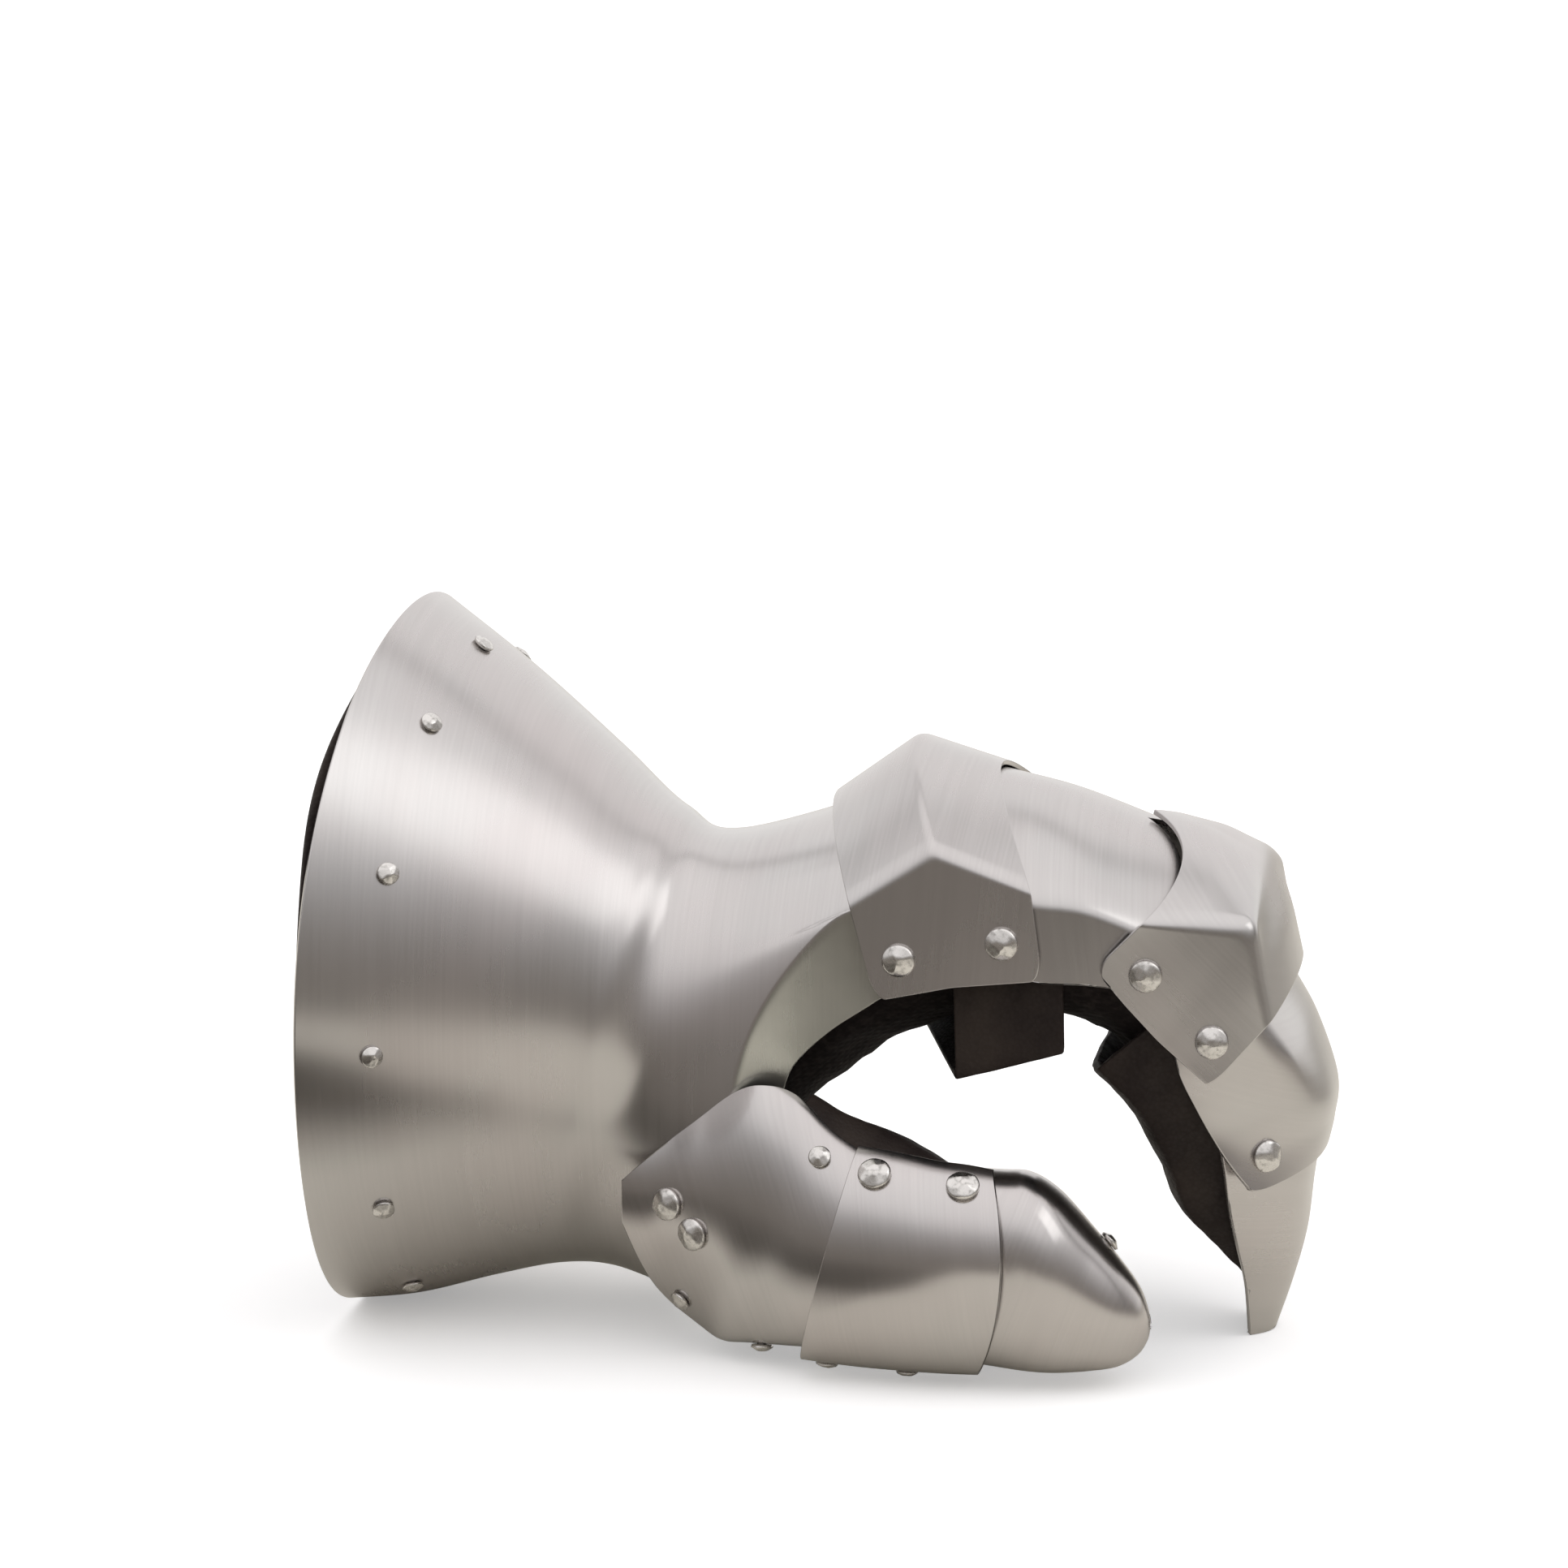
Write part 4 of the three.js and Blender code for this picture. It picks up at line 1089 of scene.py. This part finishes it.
@dataclass
class FingerPlates:
    """The five plates over the back of the hand and the fingers."""

    columns: int = 150
    lines: int = 60

    def build(self) -> None:
        """Builds the plates from the knuckles to the fingertips."""
        under, inside = placed(50, 0, 90), placed(90, 0, 60)
        creases = (0.0, 0.2, 0.8, 1.0)
        plates = (
            ("knuckle", "knuckle_plate", KNUCKLE, under, (0.5,), -5.0),
            ("finger", "finger_plate", FINGER, under, (), 8.0),
            ("second_knuckle", "second_knuckle_plate", SECOND, inside, (0.25, 0.5, 0.75), 45.0),
            ("finger_end", "finger_end_plate", FINGER_END, inside, (), 70.0),
            ("fingertip", "fingertip_plate", FINGERTIP, inside, (), 80.0),
        )
        for name, node, form, middle, ridges, turn in plates:
            steel = BrushedSteel(f"brushed_{name}_steel", grain_turn=turn).material()
            spacing = (gathered(creases, 0.03, 3), gathered(ridges, 0.03, 5))
            if node == "fingertip_plate":
                self.trimmed(SheetPiece(
                    f"{name}_lame", Slot.STEEL, (node,), form.at, middle, self.columns, 80, spacing=spacing
                ), steel)
                continue
            SheetPiece(
                f"{name}_lame", Slot.STEEL, (node,), form.at, middle, self.columns, self.lines, spacing=spacing
            ).build(steel)

    @staticmethod
    def trimmed(sheet: SheetPiece, material: bpy.types.Material) -> None:
        """Builds a plate whose end is cut off flat at the floor."""
        mesh = sheet.laid()
        bmesh.ops.bisect_plane(
            mesh, geom=[*mesh.verts, *mesh.edges, *mesh.faces], plane_co=(0, 0, 0.02 * MM),
            plane_no=(0, 0, -1), clear_outer=True,
        )
        sheet.laid = lambda: mesh
        sheet.build(material)


@dataclass
class ThumbGuard:
    """The three nested thumb plates and the leather over the thumb's open side."""

    columns: int = 120
    lines: int = 70

    @staticmethod
    def leather(u: float, v: float) -> Vector:
        """Outer face of the thumb leather."""
        rows = [smooth_row(stations, u * (len(stations) - 1)) for stations in THUMB_LEATHER_ROWS]
        return placed(*smooth_row(rows, v * (len(rows) - 1)))

    def build(self, leather: bpy.types.Material) -> None:
        """Builds the plates and the leather."""
        middle = placed(30, -58, 28)
        for name, node, form, turn in (
            ("thumb_base", "thumb_base_plate", THUMB_BASE, 20.0),
            ("thumb_knuckle", "thumb_knuckle_plate", THUMB_KNUCKLE, 8.0),
            ("thumb_tip", "thumb_tip_plate", THUMB_TIP, -20.0),
        ):
            steel = BrushedSteel(f"brushed_{name}_steel", grain_turn=turn, roughness=0.2).material()
            SheetPiece(
                f"{name}_lame", Slot.STEEL, (node,), form.at, middle, self.columns, self.lines,
                even=form is not THUMB_TIP,
            ).build(steel)
        SheetPiece(
            "thumb_side_leather", Slot.LEATHER, ("thumb_leather",), self.leather, middle, 90, 60,
            wall=LEATHER_WALL, edge=0.45, relief=wrinkled(0.35, 12, 8),
        ).build(leather)


@dataclass
class Leathers:
    """The leather that carries the finger plates, and the palm strap."""

    strap_skew: float = -0.25
    strap_end: float = 46.0

    def strap(self, u: float, v: float) -> Vector:
        """Outer face of the palm strap, which runs askew across the palm."""
        place = STRAP.at(u, v)
        place.x += self.strap_skew * (place.y + self.strap_end * MM)
        return place

    def build(self, leather: bpy.types.Material) -> None:
        """Builds both leathers."""
        SheetPiece(
            "finger_carrier_leather", Slot.LEATHER, ("finger_leather",), FINGER_LEATHER.at, placed(90, 0, 60),
            140, 80, wall=LEATHER_WALL, edge=0.45, relief=wrinkled(0.8, 16, 5),
        ).build(leather)
        SheetPiece(
            "palm_strap_leather", Slot.LEATHER, ("palm_strap",), self.strap, placed(50, 0, 90),
            150, 30, wall=LEATHER_WALL, edge=0.45, relief=wrinkled(0.25, 18, 2),
        ).build(leather)


@dataclass
class Glove:
    """The cloth glove: one sock for the hand and one for the thumb."""

    def build(self, cloth: bpy.types.Material) -> None:
        """Builds both socks."""
        for name, nodes, form, middle in (
            ("hand_cloth", "hand_glove", HAND_GLOVE, placed(25, 0, 96)),
            ("thumb_cloth", "thumb_glove thumb_glove_tip", THUMB_GLOVE, placed(30, -58, 28)),
        ):
            SheetPiece(
                name, Slot.CLOTH, tuple(nodes.split()), form.at, middle, 120, 110, wall=CLOTH_WALL, edge=0.0,
                relief=wrinkled(1.2, 13, 11), even=False,
            ).build(cloth)


@dataclass
class Rivets:
    """Every rivet of the gauntlet."""

    cuff: CuffAndHand

    @staticmethod
    def pair(surface: Surface, x: float, y: float, z: float) -> list[Seat]:
        """Seats at a point of the thumb side and at the same point of the other side."""
        return [seat_on(surface, placed(x, side * y, z), Vector((0, -side, 0))) for side in (1, -1)]

    def seats(self) -> dict[str, list[tuple[Seat, dict[str, float]]]]:
        """Seats and sizes by group."""
        large: dict[str, float] = {}
        long = {"grip": 7.6}
        small = {"radius": 2.7, "height": 1.6, "shank": 1.2, "grip": 5.0}
        rim = {**small, "grip": 5.9}
        side, down = Vector((0, -1, 0)), Vector((0, 0, -1))
        thumb = {
            "thumb_base": (
                (THUMB_BASE, (-24.4, -56, 39), side, large), (THUMB_BASE, (-16.2, -57, 32.8), side, large),
                (THUMB_BASE, (14.6, -67, 55), side, small), (THUMB_BASE, (-1, -56, 5), down, small),
                (THUMB_BASE, (-20.5, -48, 15), side, small),
            ),
            "thumb_middle": (
                (THUMB_KNUCKLE, (28.5, -70, 50.6), side, long), (THUMB_KNUCKLE, (49.2, -70, 47.4), side, large),
                (THUMB_KNUCKLE, (15.4, -59.5, 3), down, small), (THUMB_KNUCKLE, (35, -60.5, 3), down, small),
            ),
            "thumb_tip": ((THUMB_TIP, (82, -52, 33), Vector((0.6, 0.4, 0.7)), small),),
        }
        fingers = {
            "knuckle_rear": (KNUCKLE, 31.2, -51, 99.7), "knuckle_front": (KNUCKLE, 55.8, -51, 104.5),
            "second_rear": (SECOND, 89.7, -47.5, 97.1), "second_front": (SECOND, 105.5, -46, 81.1),
            "finger_end": (FINGER_END, 118.4, -33, 50.8),
        }
        found = {"cuff": [(seat, rim) for seat in self.cuff.seats()]}
        found |= {name: [(s, large) for s in self.pair(form.at, *at)] for name, (form, *at) in fingers.items()}
        found |= {
            name: [(seat_on(form.at, placed(*at), way), size) for form, at, way, size in group]
            for name, group in thumb.items()
        }
        return found

    def build(self, bright: bpy.types.Material) -> None:
        """Builds the rivets."""
        for seed, (group, seats) in enumerate(self.seats().items()):
            for k, (seat, size) in enumerate(seats, start=1):
                node = f"rivet_{group}_{k}"
                Rivet(f"{node}_dome", Slot.RIVET, (node,), seat, seed=31 * seed + k, **size).build(bright)


# ---- studio ---------------------------------------------------------------


@dataclass
class Studio:
    """Pale floor, soft light and the camera."""

    azimuth: float = 9.0
    elevation: float = 10.0
    distance: float = 1.4
    target: Vector = field(default_factory=lambda: Vector((-0.01526, 0.0, 0.1324)))
    lens: float = 130.4
    floor_size: float = 24.0
    near_side: tuple[tuple[float, Colour], ...] = (
        (0.0, (0.26, 0.24, 0.22)),
        (0.12, (0.32, 0.30, 0.285)),
        (0.24, (0.42, 0.405, 0.40)),
        (0.36, (0.57, 0.56, 0.56)),
        (0.50, (0.88, 0.865, 0.87)),
        (0.66, (1.06, 1.045, 1.05)),
        (1.0, (1.20, 1.175, 1.18)),
    )
    seam: Colour = (0.22, 0.21, 0.205)
    far_side: tuple[tuple[float, Colour], ...] = (
        (0.0, (1.05, 1.04, 1.02)),
        (0.45, (1.06, 1.04, 1.04)),
        (1.0, (1.20, 1.175, 1.18)),
    )

    def camera(self) -> None:
        """Sets the camera."""
        turn, rise = math.radians(self.azimuth), math.radians(self.elevation)
        back = Vector((math.sin(turn) * math.cos(rise), -math.cos(turn) * math.cos(rise), math.sin(rise)))
        data = bpy.data.cameras.new("camera")
        data.lens = self.lens
        data.sensor_width = 36.0
        data.clip_end = 100.0
        camera = bpy.data.objects.new("camera", data)
        camera.location = self.target + back * self.distance
        camera.rotation_mode = "QUATERNION"
        camera.rotation_quaternion = (-back).to_track_quat("-Z", "Y")
        bpy.context.scene.collection.objects.link(camera)
        bpy.context.scene.camera = camera

    def floor(self) -> None:
        """Lays the floor."""
        mesh = bmesh.new()
        bmesh.ops.create_grid(mesh, x_segments=4, y_segments=4, size=self.floor_size / 2)
        data = bpy.data.meshes.new("floor")
        mesh.to_mesh(data)
        mesh.free()
        data.materials.append(StudioPaper().material())
        floor = bpy.data.objects.new("floor", data)
        bpy.context.scene.collection.objects.link(floor)

    def lamp(self, name: str, place: Vector, aim: Vector, size: tuple[float, float], watts: float) -> None:
        """Hangs a soft rectangular lamp."""
        data = bpy.data.lights.new(name, "AREA")
        data.shape = "RECTANGLE"
        data.size, data.size_y = size
        data.energy = watts
        lamp = bpy.data.objects.new(name, data)
        lamp.location = place
        lamp.rotation_mode = "QUATERNION"
        lamp.rotation_quaternion = (aim - place).to_track_quat("-Z", "Y")
        bpy.context.scene.collection.objects.link(lamp)

    def sky(self) -> None:
        """A white tent overhead and behind that falls off to a dim room on the near side."""
        world = bpy.data.worlds.new("tent")
        bench = NodeBench(world, "ShaderNodeOutputWorld")
        way = bench.add("ShaderNodeTexCoord").outputs["Generated"]
        split = bench.add("ShaderNodeSeparateXYZ", Vector=way).outputs
        near = bench.ramp(split["Z"], self.near_side)
        far = bench.ramp(split["Z"], self.far_side)
        behind = bench.spread(split["Y"], 0.30, 0.80, 0.0, 1.0)
        sheet = bench.blend(behind, near, far)
        off_seam = bench.sum("ABSOLUTE", bench.sum("SUBTRACT", split["Z"], bench.sum("MULTIPLY", split["Y"], 1.5)), 0.0)
        tent = bench.blend(bench.spread(off_seam, 0.03, 0.09, 1.0, 0.0), sheet, self.seam)
        light = bench.add("ShaderNodeBackground", Color=tent, Strength=1.0)
        bench.tree.links.new(light.outputs[0], bench.output.inputs[0])
        bpy.context.scene.world = world

    def build(self) -> None:
        """Sets the whole studio."""
        self.camera()
        self.floor()
        self.sky()
        self.lamp("side_window", Vector((1.58, -0.42, 1.47)), Vector((0.0, 0.0, 0.1)), (1.2, 1.0), 2.6)
        bpy.context.scene.view_settings.view_transform = "Standard"


def main() -> None:
    """Builds the gauntlet in its studio."""
    logging.basicConfig(level=logging.INFO, format="%(name)s %(message)s")
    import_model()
    Studio().build()
    leather = DarkLeather().material()
    cuff = CuffAndHand()
    cuff.build(leather)
    FingerPlates().build()
    ThumbGuard().build(leather)
    Leathers().build(leather)
    Glove().build(BlackCloth().material())
    Rivets(cuff).build(HammeredSteel().material())


if __name__ == "__main__":
    main()
